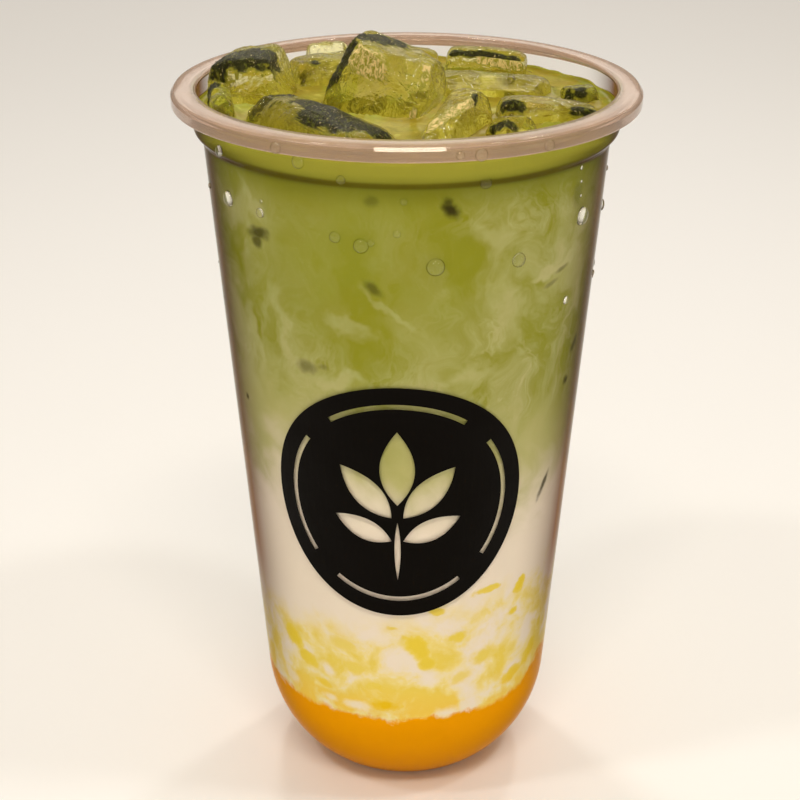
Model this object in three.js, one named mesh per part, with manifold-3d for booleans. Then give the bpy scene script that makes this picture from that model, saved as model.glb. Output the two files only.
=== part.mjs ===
// A tall iced matcha latte in its clear plastic cup.
// From the bottom up the cup holds mango puree, a marbled mix of mango and milk,
// milk, and matcha, with blocks of ice floating in the matcha.
// Millimetres, +Z up, origin at the centre of the cup's underside.

import * as THREE from 'three';
import Module from 'manifold-3d';
import { mergeVertices } from 'three/addons/utils/BufferGeometryUtils.js';
import { TessellateModifier } from 'three/addons/modifiers/TessellateModifier.js';

// Cup, outside sizes
const CUP_HEIGHT = 155.3;
const RIM_RADIUS = 47.5;
const RIM_DROP = 3.2;
const RIM_ROUND = 0.8;
const NECK_RADIUS = 43.3;
const NECK_FOOT = 147.2;
const SHOULDER_DROP = 2;
const WALL_TOP_RADIUS = 41.46;
const TAPER_DEG = 4.56;
const CORNER_RADIUS = 29;
const CORNER_CENTRE = [2.76, 24.5];
const FOOT_RADIUS = 17.6;
const FOOT_INNER_RADIUS = 14;
const FOOT_RECESS = 1.2;
const WALL = 0.9;
const FLOOR = 1.3;

// Drink
const GAP = 0.3;
const LIQUID_LEVEL = 150;
const PUREE_TOP = 23;
const MARBLE_TOP = 50;
const MILK_TOP = 87;
const MEET = 0.7;

// Waves of the borders between layers at the wall: rise, waves round, start
const PUREE_WAVES = [[1.2, 4, 0.6], [0.9, 7, 2]];
const MARBLE_WAVES = [[1.8, 3, 1], [1.3, 8, 0.4], [5, 1, 0]];
const MILK_WAVES = [[2, 2, 2.4], [1.4, 5, 0]];

// The puree climbs the wall at the right.
const CLIMB_RISE = 6;
const CLIMB_TURN_DEG = 68;
const CLIMB_SPREAD_DEG = 16;

// Round the cup, and along its corner
const AROUND = 60;
const CORNER_STEPS = 5;

// Printed badge on the front of the wall
const BADGE_RADIUS = 26.8;
const BADGE_HEIGHT = 77.6;
const BADGE_TURN_DEG = -3;
const BADGE_THICKNESS = 0.35;
const BADGE_EDGE = 7;
const BADGE_GAP = 0.45;
const BADGE_SIDES = 40;
const CURVE_SIDES = 7;
const RING_RADIUS = 22.6;
const RING_WIDTH = 1.1;
const RING_ARCS = 4;
const RING_BREAK_DEG = 9;
const TESSELLATE_PASSES = 6;

// Sprig on the badge: place of each stalk, length and width of each leaf
const TOP_LEAF = { x: 0, y: 0, turnDeg: 90, length: 17, width: 7 };
const STEM = { x: 0, y: -4, turnDeg: -90, length: 14, width: 1.3 };
const SIDE_LEAVES = [
  { y: -3, tiltDeg: 42, length: 15.5, width: 6 },
  { y: -8.5, tiltDeg: 66, length: 13, width: 5 },
];
const SIDE_LEAF_X = 1.2;
const LEAF_BELLY = 0.45;

// Ice: sides of a block's section, and rounding
const ICE_AROUND = 16;
const ICE_ALONG_DEG = [-66, -42, -18, 18, 42, 66];
const ICE_SQUARE = 0.36;
const ICE_END = 0.3;

// Melted unevenness of the ice, as a share of its size
const MELT_SLOW = 0.035;
const MELT_FAST = 0.025;

// Points closer than this are one point.
const MERGE = 1e-4;

const degrees = THREE.MathUtils.degToRad;

// Geometry helpers

// A closed body from a grid: one column of points for each angle, whose first
// and last points are shared by all columns.
function closedGrid(columns) {
  const rows = columns[0].length;
  const count = columns.length;
  const points = [columns[0][0]];
  for (let row = 1; row < rows - 1; row += 1) {
    for (const column of columns) points.push(column[row]);
  }
  points.push(columns[0][rows - 1]);
  const last = points.length - 1;
  const at = (row, turn) => 1 + (row - 1) * count + (turn % count);
  const index = [];
  for (let turn = 0; turn < count; turn += 1) {
    index.push(0, at(1, turn + 1), at(1, turn));
    for (let row = 1; row < rows - 2; row += 1) {
      const corners = [at(row, turn), at(row, turn + 1), at(row + 1, turn + 1), at(row + 1, turn)];
      index.push(corners[0], corners[1], corners[2]);
      index.push(corners[0], corners[2], corners[3]);
    }
    index.push(at(rows - 2, turn), at(rows - 2, turn + 1), last);
  }
  const geometry = new THREE.BufferGeometry();
  geometry.setAttribute('position', new THREE.Float32BufferAttribute(points.flat(), 3));
  geometry.setIndex(index);
  return geometry;
}

function named(name, geometry, color, roughness) {
  const material = new THREE.MeshStandardMaterial({ color, roughness, metalness: 0 });
  const mesh = new THREE.Mesh(geometry, material);
  mesh.name = name;
  return mesh;
}

// Solids that are cut or joined go through the boolean library.
const wasm = await Module();
wasm.setup();

function toSolid(geometry) {
  const bare = geometry.clone();
  bare.deleteAttribute('normal');
  bare.deleteAttribute('uv');
  const merged = mergeVertices(bare, MERGE);
  return new wasm.Manifold(new wasm.Mesh({
    numProp: 3,
    vertProperties: new Float32Array(merged.attributes.position.array),
    triVerts: new Uint32Array(merged.index.array),
  }));
}

function fromSolid(solid) {
  const mesh = solid.getMesh();
  const geometry = new THREE.BufferGeometry();
  geometry.setAttribute('position', new THREE.Float32BufferAttribute(mesh.vertProperties, 3));
  geometry.setIndex(new THREE.Uint32BufferAttribute(mesh.triVerts, 1));
  return geometry;
}

// Cup wall

const NECK_INNER = NECK_RADIUS - WALL;
const SHOULDER_FOOT = NECK_FOOT - SHOULDER_DROP;

// Radius of the wall at a height, inset by a distance from the outside.
function wallRadius(height, inset) {
  const slope = Math.tan(degrees(TAPER_DEG));
  const tangentHeight = CORNER_CENTRE[1] - CORNER_RADIUS * Math.sin(degrees(TAPER_DEG));
  if (height >= NECK_FOOT) return NECK_RADIUS - inset;
  if (height > SHOULDER_FOOT) {
    const share = (height - SHOULDER_FOOT) / SHOULDER_DROP;
    return THREE.MathUtils.lerp(WALL_TOP_RADIUS, NECK_RADIUS, share) - inset;
  }
  if (height > tangentHeight) return WALL_TOP_RADIUS - (SHOULDER_FOOT - height) * slope - inset;
  const radius = CORNER_RADIUS - inset;
  const drop = Math.min(CORNER_CENTRE[1] - height, radius);
  return CORNER_CENTRE[0] + Math.sqrt(radius * radius - drop * drop);
}

// Points on the rounded corner, from the given height up to the straight wall.
function cornerPoints(inset, lowest) {
  const radius = CORNER_RADIUS - inset;
  const start = -Math.asin((CORNER_CENTRE[1] - lowest) / radius);
  const end = -degrees(TAPER_DEG);
  const points = [];
  for (let step = 0; step <= CORNER_STEPS; step += 1) {
    const angle = THREE.MathUtils.lerp(start, end, step / CORNER_STEPS);
    const x = CORNER_CENTRE[0] + radius * Math.cos(angle);
    points.push([x, CORNER_CENTRE[1] + radius * Math.sin(angle)]);
  }
  return points;
}

function cup() {
  const top = CUP_HEIGHT;
  const skirtInner = RIM_RADIUS - WALL;
  const profile = [
    [0, FOOT_RECESS],
    [FOOT_INNER_RADIUS - FOOT_RECESS, FOOT_RECESS],
    [FOOT_INNER_RADIUS, 0],
    [FOOT_RADIUS, 0],
    ...cornerPoints(0, FOOT_RECESS / 2),
    [WALL_TOP_RADIUS, SHOULDER_FOOT],
    [NECK_RADIUS, NECK_FOOT],
    [NECK_RADIUS, top - WALL - RIM_ROUND],
    [NECK_RADIUS + RIM_ROUND, top - WALL],
    [skirtInner, top - WALL],
    [skirtInner, top - RIM_DROP],
    [RIM_RADIUS, top - RIM_DROP],
    [RIM_RADIUS, top - RIM_ROUND],
    [RIM_RADIUS - RIM_ROUND / 3, top - RIM_ROUND / 3],
    [RIM_RADIUS - RIM_ROUND, top],
    [NECK_INNER + RIM_ROUND, top],
    [NECK_INNER, top - RIM_ROUND],
    [NECK_INNER, NECK_FOOT],
    [WALL_TOP_RADIUS - WALL, SHOULDER_FOOT],
    ...cornerPoints(WALL, FLOOR).reverse(),
    [FOOT_INNER_RADIUS + FLOOR, FLOOR],
    [FOOT_INNER_RADIUS - FLOOR, FOOT_RECESS + FLOOR],
    [0, FOOT_RECESS + FLOOR],
  ];
  const columns = [];
  for (let turn = 0; turn < AROUND; turn += 1) {
    const angle = (turn / AROUND) * 2 * Math.PI;
    columns.push(profile.map(([r, z]) => [r * Math.cos(angle), r * Math.sin(angle), z]));
  }
  return named('cup', closedGrid(columns), '#d9c9b4', 0.3);
}

// Layers of the drink

// Angle from the front of the cup, growing towards +X, for a place on the circle.
const fromFront = (angle) => Math.atan2(Math.cos(angle), -Math.sin(angle));

const swell = (angle, centre, spread) => {
  const away = Math.atan2(Math.sin(angle - centre), Math.cos(angle - centre));
  return Math.exp(-((away / spread) ** 2));
};

// Heights of the three borders between layers at the wall.
const wave = (waves, turn) => (
  waves.reduce((sum, [rise, count, start]) => sum + rise * Math.sin(count * turn + start), 0)
);
const marbleEdge = (turn) => MARBLE_TOP + wave(MARBLE_WAVES, turn);
const milkEdge = (turn) => MILK_TOP + wave(MILK_WAVES, turn);

function pureeEdge(turn) {
  const climb = CLIMB_RISE * swell(turn, degrees(CLIMB_TURN_DEG), degrees(CLIMB_SPREAD_DEG));
  return PUREE_TOP + wave(PUREE_WAVES, turn) + climb;
}

// A border flattens towards the middle of the cup.
const borderHeight = (edge, level) => (turn, share) => level + (edge(turn) - level) * share ** 2;

const SHARES = [0.35, 0.7];

// One layer, between a lower and an upper border, out to the wall.
function layer(low, high, wallHeights) {
  const columns = [];
  for (let turn = 0; turn < AROUND; turn += 1) {
    const angle = (turn / AROUND) * 2 * Math.PI;
    const front = fromFront(angle);
    const place = (r, z) => [r * Math.cos(angle), r * Math.sin(angle), z];
    const inset = WALL + GAP;
    const bottom = low(front, 1);
    const top = high(front, 1);
    const column = [place(0, low(0, 0))];
    for (const share of SHARES) {
      column.push(place(share * wallRadius(bottom, inset), low(front, share)));
    }
    column.push(place(wallRadius(bottom, inset), bottom));
    for (const height of wallHeights) column.push(place(wallRadius(height, inset), height));
    column.push(place(wallRadius(top, inset), top));
    for (const share of [...SHARES].reverse()) {
      column.push(place(share * wallRadius(top, inset), high(front, share)));
    }
    column.push(place(0, high(0, 0)));
    columns.push(column);
  }
  return closedGrid(columns);
}

const lift = (border, distance) => (turn, share) => border(turn, share) + distance;
const pureeBorder = borderHeight(pureeEdge, PUREE_TOP);
const marbleBorder = borderHeight(marbleEdge, MARBLE_TOP);
const milkBorder = borderHeight(milkEdge, MILK_TOP);

// The puree stands on the cup's floor, which is raised in the middle.
function floorBorder(turn, share) {
  const middle = FOOT_RECESS + FLOOR + GAP;
  return share > SHARES[1] ? FLOOR + 2 * GAP : middle;
}

function mangoPuree() {
  const corner = cornerPoints(WALL + GAP, FLOOR + 2 * GAP).map(([, z]) => z);
  const heights = corner.slice(1, -1);
  const geometry = layer(floorBorder, lift(pureeBorder, -MEET / 2), heights);
  return named('mango_puree', geometry, '#d88a10', 0.35);
}

function mangoMilk() {
  const geometry = layer(lift(pureeBorder, MEET / 2), lift(marbleBorder, -MEET / 2), []);
  return named('mango_milk', geometry, '#e8cc78', 0.4);
}

function milk() {
  const geometry = layer(lift(marbleBorder, MEET / 2), lift(milkBorder, -MEET / 2), []);
  return named('milk', geometry, '#e6d2b4', 0.4);
}

// Ice

// Each block is a rounded bar. length, width and height are its sides; crown is
// 0.36 for a square top and 1 for a round one; taper narrows it towards its far
// end; turn is yaw, pitch and roll in degrees; seed sets the melted unevenness.
const ICE = [
  {
    name: 'ice_left_dome', size: [15, 14.8, 20.5], crown: 0.55, taper: 0.12,
    at: [-31, 7.4, 150.2], turn: [74, -7, -6], seed: 1,
  },
  {
    name: 'ice_left_sliver', size: [10, 5, 10], crown: 0.8, taper: 0.2,
    at: [-37, -5.8, 150.2], turn: [-78, 8, 0], seed: 2,
  },
  {
    name: 'ice_front_bar', size: [33, 15, 16], crown: 0.7, taper: 0.1,
    at: [-16.6, -20.8, 147.4], turn: [-47, 4, 0], seed: 3,
  },
  {
    name: 'ice_centre_block', size: [20.5, 18, 30], crown: 0.5, taper: 0,
    at: [-6, -1, 148.8], turn: [-18, 22, 0], seed: 4,
  },
  {
    name: 'ice_back_left', size: [15, 13, 15], crown: 0.7, taper: 0,
    at: [-17, 22, 148.4], turn: [24, -4, 0], seed: 5,
  },
  {
    name: 'ice_back_chip', size: [9, 5, 9], crown: 0.8, taper: 0,
    at: [-17.4, 34, 151.2], turn: [27, 0, 0], seed: 12,
  },
  {
    name: 'ice_back_centre', size: [13, 8, 12], crown: 0.6, taper: 0.15,
    at: [0.3, 29.6, 149.6], turn: [6, 4, 0], seed: 13,
  },
  {
    name: 'ice_back_plank', size: [18, 8, 14], crown: 0.5, taper: 0.1,
    at: [17.3, 27.6, 148.7], turn: [-8, 0, 0], seed: 6,
  },
  {
    name: 'ice_middle_slab', size: [25, 14, 13], crown: 0.45, taper: 0.1,
    at: [18, 11, 147.2], turn: [-4, 0, 0], seed: 7,
  },
  {
    name: 'ice_front_clear', size: [24, 9.5, 14], crown: 0.6, taper: -0.2,
    at: [8.6, -20.8, 147.8], turn: [68, -10, 0], seed: 8,
  },
  {
    name: 'ice_right_blade', size: [20.5, 9, 12], crown: 0.5, taper: 0.35,
    at: [28, -9.6, 148], turn: [12, 3, 0], seed: 9,
  },
  {
    name: 'ice_right_chip', size: [7, 6, 9], crown: 0.5, taper: 0,
    at: [35.6, 4.4, 149], turn: [20, 0, 0], seed: 10,
  },
  {
    name: 'ice_front_chip', size: [9, 8, 12], crown: 0.9, taper: 0.2,
    at: [20.2, -24.4, 148.5], turn: [30, 0, 0], seed: 11,
  },
];

const signedPower = (value, power) => Math.sign(value) * Math.abs(value) ** power;

// Melted surface: a slow wave over the block, as a share of its size.
function melted(round, along, seed) {
  const first = Math.sin(2 * round + 1.7 * seed) * Math.cos(1.5 * along + seed);
  const second = Math.sin(3 * round + 2.9 * along + 0.9 * seed);
  return 1 + MELT_SLOW * first + MELT_FAST * second;
}

function iceGeometry({ size, crown, taper, seed }, grow) {
  const [length, width, height] = size.map((side) => side + 2 * grow);
  const columns = [];
  for (let turn = 0; turn < ICE_AROUND; turn += 1) {
    const round = (turn / ICE_AROUND) * 2 * Math.PI;
    const power = Math.sin(round) > 0 ? crown : ICE_SQUARE;
    const side = signedPower(Math.cos(round), power) * (width / 2);
    const rise = signedPower(Math.sin(round), power) * (height / 2);
    const column = [[-length / 2, 0, 0]];
    for (const alongDeg of ICE_ALONG_DEG) {
      const along = degrees(alongDeg);
      const x = signedPower(Math.sin(along), ICE_END) * (length / 2);
      const narrow = 1 - (taper * x) / length;
      const scale = Math.cos(along) ** ICE_END * narrow * melted(round, along, seed);
      column.push([x, side * scale, rise * scale]);
    }
    column.push([length / 2, 0, 0]);
    columns.push(column);
  }
  return closedGrid(columns);
}

function iceBlock(spec, grow = 0) {
  const block = named(spec.name, iceGeometry(spec, grow), '#c9d08a', 0.1);
  const [yaw, pitch, roll] = spec.turn.map(degrees);
  block.rotation.set(roll, pitch, yaw, 'ZYX');
  block.position.set(...spec.at);
  return block;
}

// Matcha, cut round the ice that floats in it
function matcha(blocks) {
  const surface = () => LIQUID_LEVEL;
  const heights = [SHOULDER_FOOT, NECK_FOOT];
  let solid = toSolid(layer(lift(milkBorder, MEET / 2), surface, heights));
  for (const block of blocks) {
    block.updateMatrix();
    solid = solid.subtract(toSolid(block.geometry.clone().applyMatrix4(block.matrix)));
  }
  return named('matcha', fromSolid(solid), '#8f8c30', 0.4);
}

// Printed badge: a round plate with a broken ring and a sprig of leaves left clear

// A leaf between its stalk and its tip, as a hole.
function leaf({ x, y, turnDeg, length, width }) {
  const hole = new THREE.Path();
  const angle = degrees(turnDeg);
  const place = (along, across) => [
    x + along * Math.cos(angle) - across * Math.sin(angle),
    y + along * Math.sin(angle) + across * Math.cos(angle),
  ];
  hole.moveTo(...place(0, 0));
  const belly = length * LEAF_BELLY;
  hole.quadraticCurveTo(...place(belly, width), ...place(length, 0));
  hole.quadraticCurveTo(...place(belly, -width), ...place(0, 0));
  return hole;
}

function ringArc(centreDeg) {
  const half = 180 / RING_ARCS - RING_BREAK_DEG;
  const start = degrees(centreDeg - half);
  const end = degrees(centreDeg + half);
  const hole = new THREE.Path();
  hole.absarc(0, 0, RING_RADIUS + RING_WIDTH / 2, start, end, false);
  hole.absarc(0, 0, RING_RADIUS - RING_WIDTH / 2, end, start, true);
  hole.closePath();
  return hole;
}

function printBadge() {
  const round = new THREE.EllipseCurve(0, 0, BADGE_RADIUS, BADGE_RADIUS);
  const plate = new THREE.Shape(round.getPoints(BADGE_SIDES).slice(0, -1));
  for (let arc = 0; arc < RING_ARCS; arc += 1) {
    plate.holes.push(ringArc((arc * 360) / RING_ARCS));
  }
  plate.holes.push(leaf(TOP_LEAF), leaf(STEM));
  for (const side of [-1, 1]) {
    for (const spec of SIDE_LEAVES) {
      const turnDeg = 90 + side * spec.tiltDeg;
      plate.holes.push(leaf({ ...spec, x: -side * SIDE_LEAF_X, turnDeg }));
    }
  }
  const flat = new THREE.ExtrudeGeometry(plate, {
    depth: BADGE_THICKNESS, bevelEnabled: false, curveSegments: CURVE_SIDES,
  });
  flat.deleteAttribute('normal');
  flat.deleteAttribute('uv');
  const fine = new TessellateModifier(BADGE_EDGE, TESSELLATE_PASSES).modify(flat);
  const positions = fine.attributes.position;
  const middleRadius = wallRadius(BADGE_HEIGHT, 0);
  for (let i = 0; i < positions.count; i += 1) {
    const z = BADGE_HEIGHT + positions.getY(i);
    const radius = wallRadius(z, 0) + BADGE_GAP + positions.getZ(i);
    const turn = positions.getX(i) / middleRadius + degrees(BADGE_TURN_DEG);
    positions.setXYZ(i, radius * Math.sin(turn), -radius * Math.cos(turn), z);
  }
  return named('print_badge', mergeVertices(fine, MERGE), '#120e0a', 0.5);
}

const latte = new THREE.Group();
const blocks = ICE.map((spec) => iceBlock(spec));
latte.add(cup(), mangoPuree(), mangoMilk(), milk());
latte.add(matcha(ICE.map((spec) => iceBlock(spec, GAP))));
latte.add(...blocks, printBadge());

export default latte;
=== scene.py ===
"""An iced matcha latte with mango and milk in a tall clear cup.

Laid out as a Blender 4.5 add-on and run as a script. Every length in the
property groups is a real size in metres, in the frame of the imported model.
"""

import math
import random

import bmesh
import bpy
from bpy.props import (
    FloatProperty,
    FloatVectorProperty,
    IntProperty,
    PointerProperty,
)
from mathutils import Matrix, Vector, noise
from mathutils.bvhtree import BVHTree


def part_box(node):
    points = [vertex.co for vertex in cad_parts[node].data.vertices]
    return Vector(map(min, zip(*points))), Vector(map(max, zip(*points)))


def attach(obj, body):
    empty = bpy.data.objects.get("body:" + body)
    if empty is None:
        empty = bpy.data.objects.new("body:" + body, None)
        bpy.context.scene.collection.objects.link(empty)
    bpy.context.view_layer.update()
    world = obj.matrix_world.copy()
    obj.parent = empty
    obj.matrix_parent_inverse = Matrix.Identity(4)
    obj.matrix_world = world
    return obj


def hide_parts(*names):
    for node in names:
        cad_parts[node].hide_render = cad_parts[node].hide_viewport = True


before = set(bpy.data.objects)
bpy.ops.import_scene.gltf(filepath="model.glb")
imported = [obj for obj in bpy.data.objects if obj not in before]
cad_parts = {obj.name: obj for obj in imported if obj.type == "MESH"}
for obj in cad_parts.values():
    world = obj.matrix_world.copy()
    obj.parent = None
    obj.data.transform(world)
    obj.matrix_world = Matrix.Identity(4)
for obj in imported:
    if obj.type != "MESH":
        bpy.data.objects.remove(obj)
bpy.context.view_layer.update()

bl_info = {
    "name": "Iced Matcha Latte",
    "version": (1, 0, 0),
    "blender": (4, 5, 0),
    "location": "3D View > Sidebar > Latte",
    "description": "Builds an iced matcha latte in a clear cup",
    "category": "Object",
}

BODY = "root"
MM = 0.001
SHADOW_TINT = (0.96, 0.96, 0.94, 1)
ICE_NODES = sorted(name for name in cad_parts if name.startswith("ice_"))
LAYER_NODES = ("mango_puree", "mango_milk", "milk", "matcha")
CUP_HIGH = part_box("cup")[1]
LIQUID_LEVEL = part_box("matcha")[1].z


def tone(red, green, blue):
    """Linear colour of a tone given in the usual 0 to 255 steps."""
    steps = (red / 255, green / 255, blue / 255)
    linear = [s / 12.92 if s <= 0.04045 else ((s + 0.055) / 1.055) ** 2.4 for s in steps]
    return (*linear, 1.0)


# Sizes and colours that a user would change


def size(name, description, default):
    return FloatProperty(
        name=name, description=description, default=default, unit="LENGTH", precision=4
    )


def number(name, description, default):
    return FloatProperty(name=name, description=description, default=default)


def whole(name, description, default):
    return IntProperty(name=name, description=description, default=default)


def tilt(name, description, radians):
    return FloatProperty(name=name, description=description, default=radians, unit="ROTATION")


def paint(name, description, default):
    return FloatVectorProperty(
        name=name, description=description, default=default, size=4, subtype="COLOR"
    )


def glow(name, description, default):
    return FloatVectorProperty(
        name=name, description=description, default=default, subtype="COLOR"
    )


class LatteCupSettings(bpy.types.PropertyGroup):
    """Outside sizes and plastic of the cup"""

    wall: size("Wall", "Thickness of the cup's wall", 0.0009)
    rim_drop: size("Rim drop", "Height of the skirt that hangs from the rim", 0.0032)
    neck_radius: size("Neck radius", "Outside radius below the rim", 0.0433)
    neck_foot: size("Neck foot", "Height where the neck meets the shoulder", 0.1472)
    shoulder_drop: size("Shoulder drop", "Height of the shoulder's slope", 0.002)
    wall_top_radius: size("Wall top radius", "Outside radius below the shoulder", 0.04146)
    corner_radius: size("Corner radius", "Radius of the rounded bottom corner", 0.029)
    corner_x: size("Corner centre out", "Distance of the corner's centre from the axis", 0.00276)
    corner_z: size("Corner centre up", "Height of the corner's centre", 0.0245)
    foot_outer: size("Foot outer radius", "Outer radius of the flat foot ring", 0.0176)
    foot_inner: size("Foot inner radius", "Inner radius of the flat foot ring", 0.014)
    foot_recess: size("Foot recess", "Depth of the hollow under the foot", 0.0012)
    floor: size("Floor", "Thickness of the cup's floor", 0.0013)
    taper: tilt("Taper", "Lean of the wall", math.radians(4.56))
    around: whole("Steps around", "Steps round the cup", 192)
    clear: paint("Clear plastic", "Tint of the wall seen straight on", tone(252, 250, 245))
    # Painted shade: this brown darkens the wall towards its outline and at the shoulder step.
    painted_edge_shade: paint("Edge", "Tint of the wall seen at its edges", tone(88, 44, 12))
    gleam: paint("Gleam", "Tint of the wall's reflections", tone(205, 160, 110))
    milky: paint("Milky plastic", "Colour of the dry rim", tone(206, 182, 165))


class LatteDrinkSettings(bpy.types.PropertyGroup):
    """Heights and colours of the drink's layers"""

    puree_top: size("Puree top", "Height of the puree's edge", 0.023)
    marble_top: size("Marbling top", "Height where the marbling fades", 0.050)
    milk_top: size("Milk top", "Height of the middle of the blend to matcha", 0.087)
    meniscus: size("Meniscus", "Rise of the surface at the wall and the ice", 0.0009)
    film: size("Film", "Rise of the wet film on the neck above the surface", 0.0019)
    puree: paint("Puree", "Mango puree", tone(233, 158, 3))
    puree_deep: paint("Deep puree", "Puree low in the cup", tone(237, 159, 20))
    marble_gold: paint("Marbling gold", "Thick mango just above the puree", tone(238, 196, 24))
    marble_yellow: paint("Marbling yellow", "Mango in the milk", tone(232, 207, 58))
    marble_pale: paint("Marbling pale", "Thinned mango in the milk", tone(237, 221, 128))
    milk: paint("Milk", "Milk and the pale lumps", tone(238, 229, 216))
    blend: paint("Blend", "Milk tinted by matcha", tone(181, 181, 120))
    matcha: paint("Matcha", "Matcha", tone(139, 145, 46))
    matcha_deep: paint("Deep matcha", "Strongest matcha", tone(138, 142, 42))
    wisp: paint("Wisps", "Milk drawn up into the matcha", tone(186, 186, 134))
    blot: paint("Sunken ice", "Ice that touches the wall inside", tone(52, 48, 24))
    hollow_dark: paint("Dark hollow", "Shade in the hollows of the ice", tone(84, 78, 10))
    hollow_light: paint("Light hollow", "Light in the hollows of the ice", tone(224, 220, 112))
    # Painted light: the neck's tone is lifted against the shadow of the rim.
    neck: paint("Neck", "Drink in the neck below the rim", tone(160, 161, 66))
    surface: paint("Surface", "Open surface between the ice", tone(136, 121, 28))
    # Painted light: the drink under the ice is lighter than the open surface.
    hollow: paint("Hollow", "Hollows of the ice", tone(192, 184, 70))


class LatteIceSettings(bpy.types.PropertyGroup):
    """Unevenness and tint of the ice"""

    levels: whole("Levels", "Subdivision of each block", 3)
    dimple: size("Dimple", "Height of the melted dimples", 0.0003)
    groove: size("Groove", "Height of the melted ridges", 0.00015)
    crinkle: size("Crinkle", "Height of the fine crazing", 0.00012)
    inset: size("Inset", "Depth that the drink reaches into the ice", 0.00015)
    tint: paint("Ice", "Clear ice", tone(251, 248, 200))
    # Painted shade: the dark of the crazed ice stands for dark reflections in it.
    dark: paint("Crazed ice", "Darkest of the crazed ice", tone(20, 21, 2))
    # Olive also tints the outline of the clear ice as painted shade.
    olive: paint("Crazed ice between", "Crazed ice between its dark cracks", tone(104, 112, 34))
    green: paint("Green ice", "Ice at the edge of its crazed patches", tone(158, 156, 52))
    # Painted glints: this cream lights the frosted ice and the flecks on crazed and frosted ice.
    frost_and_glint: paint("Frosted ice", "Lightest of the frosted ice", tone(248, 224, 156))


class LatteBadgeSettings(bpy.types.PropertyGroup):
    """Printed badge on the front"""

    radius: size("Radius", "Radius of the badge", 0.0268)
    height: size("Height", "Height of the badge's centre", 0.0776)
    thickness: size("Thickness", "Thickness of the ink", 0.00008)
    ring_radius: size("Ring radius", "Radius of the broken ring", 0.0226)
    ring_width: size("Ring width", "Width of the broken ring", 0.0011)
    turn: tilt("Turn", "Turn from the front", math.radians(-3))
    ink: paint("Ink", "Printing ink", tone(9, 6, 3))


class LatteDropSettings(bpy.types.PropertyGroup):
    """Water drops on the cup"""

    seed: whole("Seed", "Seed of the drops on the far side", 7)
    strays: whole("Strays", "Small drops scattered round", 34)
    flatness: number("Flatness", "Height over radius", 0.6)


class LatteStageSettings(bpy.types.PropertyGroup):
    """Camera, floor and light"""

    distance: size("Distance", "Camera's distance in front of the axis", 0.35)
    height: size("Height", "Camera's height above the floor", 0.24154)
    aside: size("Aside", "Camera's distance to the left", 0.00135)
    pitch: tilt("Pitch", "Camera's tilt down", 0.421)
    lens: number("Lens", "Focal length in mm", 79.05)
    key: number("Key", "Power of the main light in watts", 2.8)
    glint: number("Glint", "Power of each small lamp in watts", 0.7)
    back: number("Back", "Power of the light behind in watts", 3.8)
    ambient: number("Ambient", "Strength of the surroundings", 0.33)
    light: glow("Light", "Colour of the lamps in front and of the surroundings", (1.0, 0.86, 0.7))
    sky: glow("Sky", "Colour of the light behind and of the small lamps", (1.0, 0.96, 0.88))
    floor: paint("Floor", "Floor and backdrop", tone(250, 252, 255))


# Mesh helpers


def smooth_faces(mesh):
    mesh.polygons.foreach_set("use_smooth", [True] * len(mesh.polygons))


def link(name, mesh, smooth=True):
    """A new object at the origin for a mesh."""
    mesh.name = name
    piece = bpy.data.objects.new(name, mesh)
    bpy.context.scene.collection.objects.link(piece)
    if smooth:
        smooth_faces(mesh)
    return piece


def hand_in(piece, slot, *nodes):
    """The piece rides on the drink's body and stands for these CAD nodes."""
    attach(piece, BODY)
    if nodes:
        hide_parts(*nodes)


def turned(section, turn):
    """Points of a half section, turned round the axis."""
    return [(r * math.cos(turn), r * math.sin(turn), z) for r, z in section]


def full_turn(steps):
    """Angles of a full turn."""
    return [step / steps * 2 * math.pi for step in range(steps)]


def grid_mesh(name, columns):
    """A closed body from columns that share their first and last points."""
    count, rows = len(columns), len(columns[0])
    points = [columns[0][0]]
    for row in range(1, rows - 1):
        points.extend(column[row] for column in columns)
    points.append(columns[0][-1])

    def at(row, turn):
        return 1 + (row - 1) * count + turn % count

    faces = []
    for turn in range(count):
        faces.append((0, at(1, turn + 1), at(1, turn)))
        for row in range(1, rows - 2):
            faces.append(
                (at(row, turn), at(row, turn + 1), at(row + 1, turn + 1), at(row + 1, turn))
            )
        faces.append((at(rows - 2, turn), at(rows - 2, turn + 1), len(points) - 1))
    mesh = bpy.data.meshes.new(name)
    mesh.from_pydata(points, [], faces)
    mesh.validate()
    return mesh


def applied(piece):
    """A new mesh of the piece with its modifiers applied."""
    depsgraph = bpy.context.evaluated_depsgraph_get()
    return bpy.data.meshes.new_from_object(piece.evaluated_get(depsgraph))


def evaluate(piece):
    """Gives the piece its evaluated mesh in place of its modifiers."""
    mesh = applied(piece)
    piece.modifiers.clear()
    old = piece.data
    piece.data = mesh
    bpy.data.meshes.remove(old)


def coat(piece, materials):
    for material in materials:
        piece.data.materials.append(material)


def blend(low, high, value):
    """Smooth step of value from low to high."""
    share = min(1.0, max(0.0, (value - low) / (high - low)))
    return share * share * (3 - 2 * share)


def round_corners(points, radius, steps=4):
    """A profile with its corners rounded. The first and last points stay."""
    made = [points[0]]
    for before, corner, after in zip(points, points[1:], points[2:]):
        corner, before, after = Vector(corner), Vector(before), Vector(after)
        back, on = before - corner, after - corner
        cut = min(radius, back.length * 0.45, on.length * 0.45)
        first, last = corner + back.normalized() * cut, corner + on.normalized() * cut
        for step in range(steps + 1):
            share = step / steps
            near = first.lerp(corner, share).lerp(corner.lerp(last, share), share)
            made.append(tuple(near))
    made.append(points[-1])
    return made


# Cup profile

CORNER_STEPS = 28
FOOT_ROUND = 0.5 * MM
HEAD_ROUND = 0.7 * MM
BEVEL_OUT = 0.66 * MM
BEVEL_RISE = 0.88 * MM
BEVEL_DROP = 1.15 * MM
BEVEL_REACH = 1.7 * MM
DRY_DROP = 1.2 * MM


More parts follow.
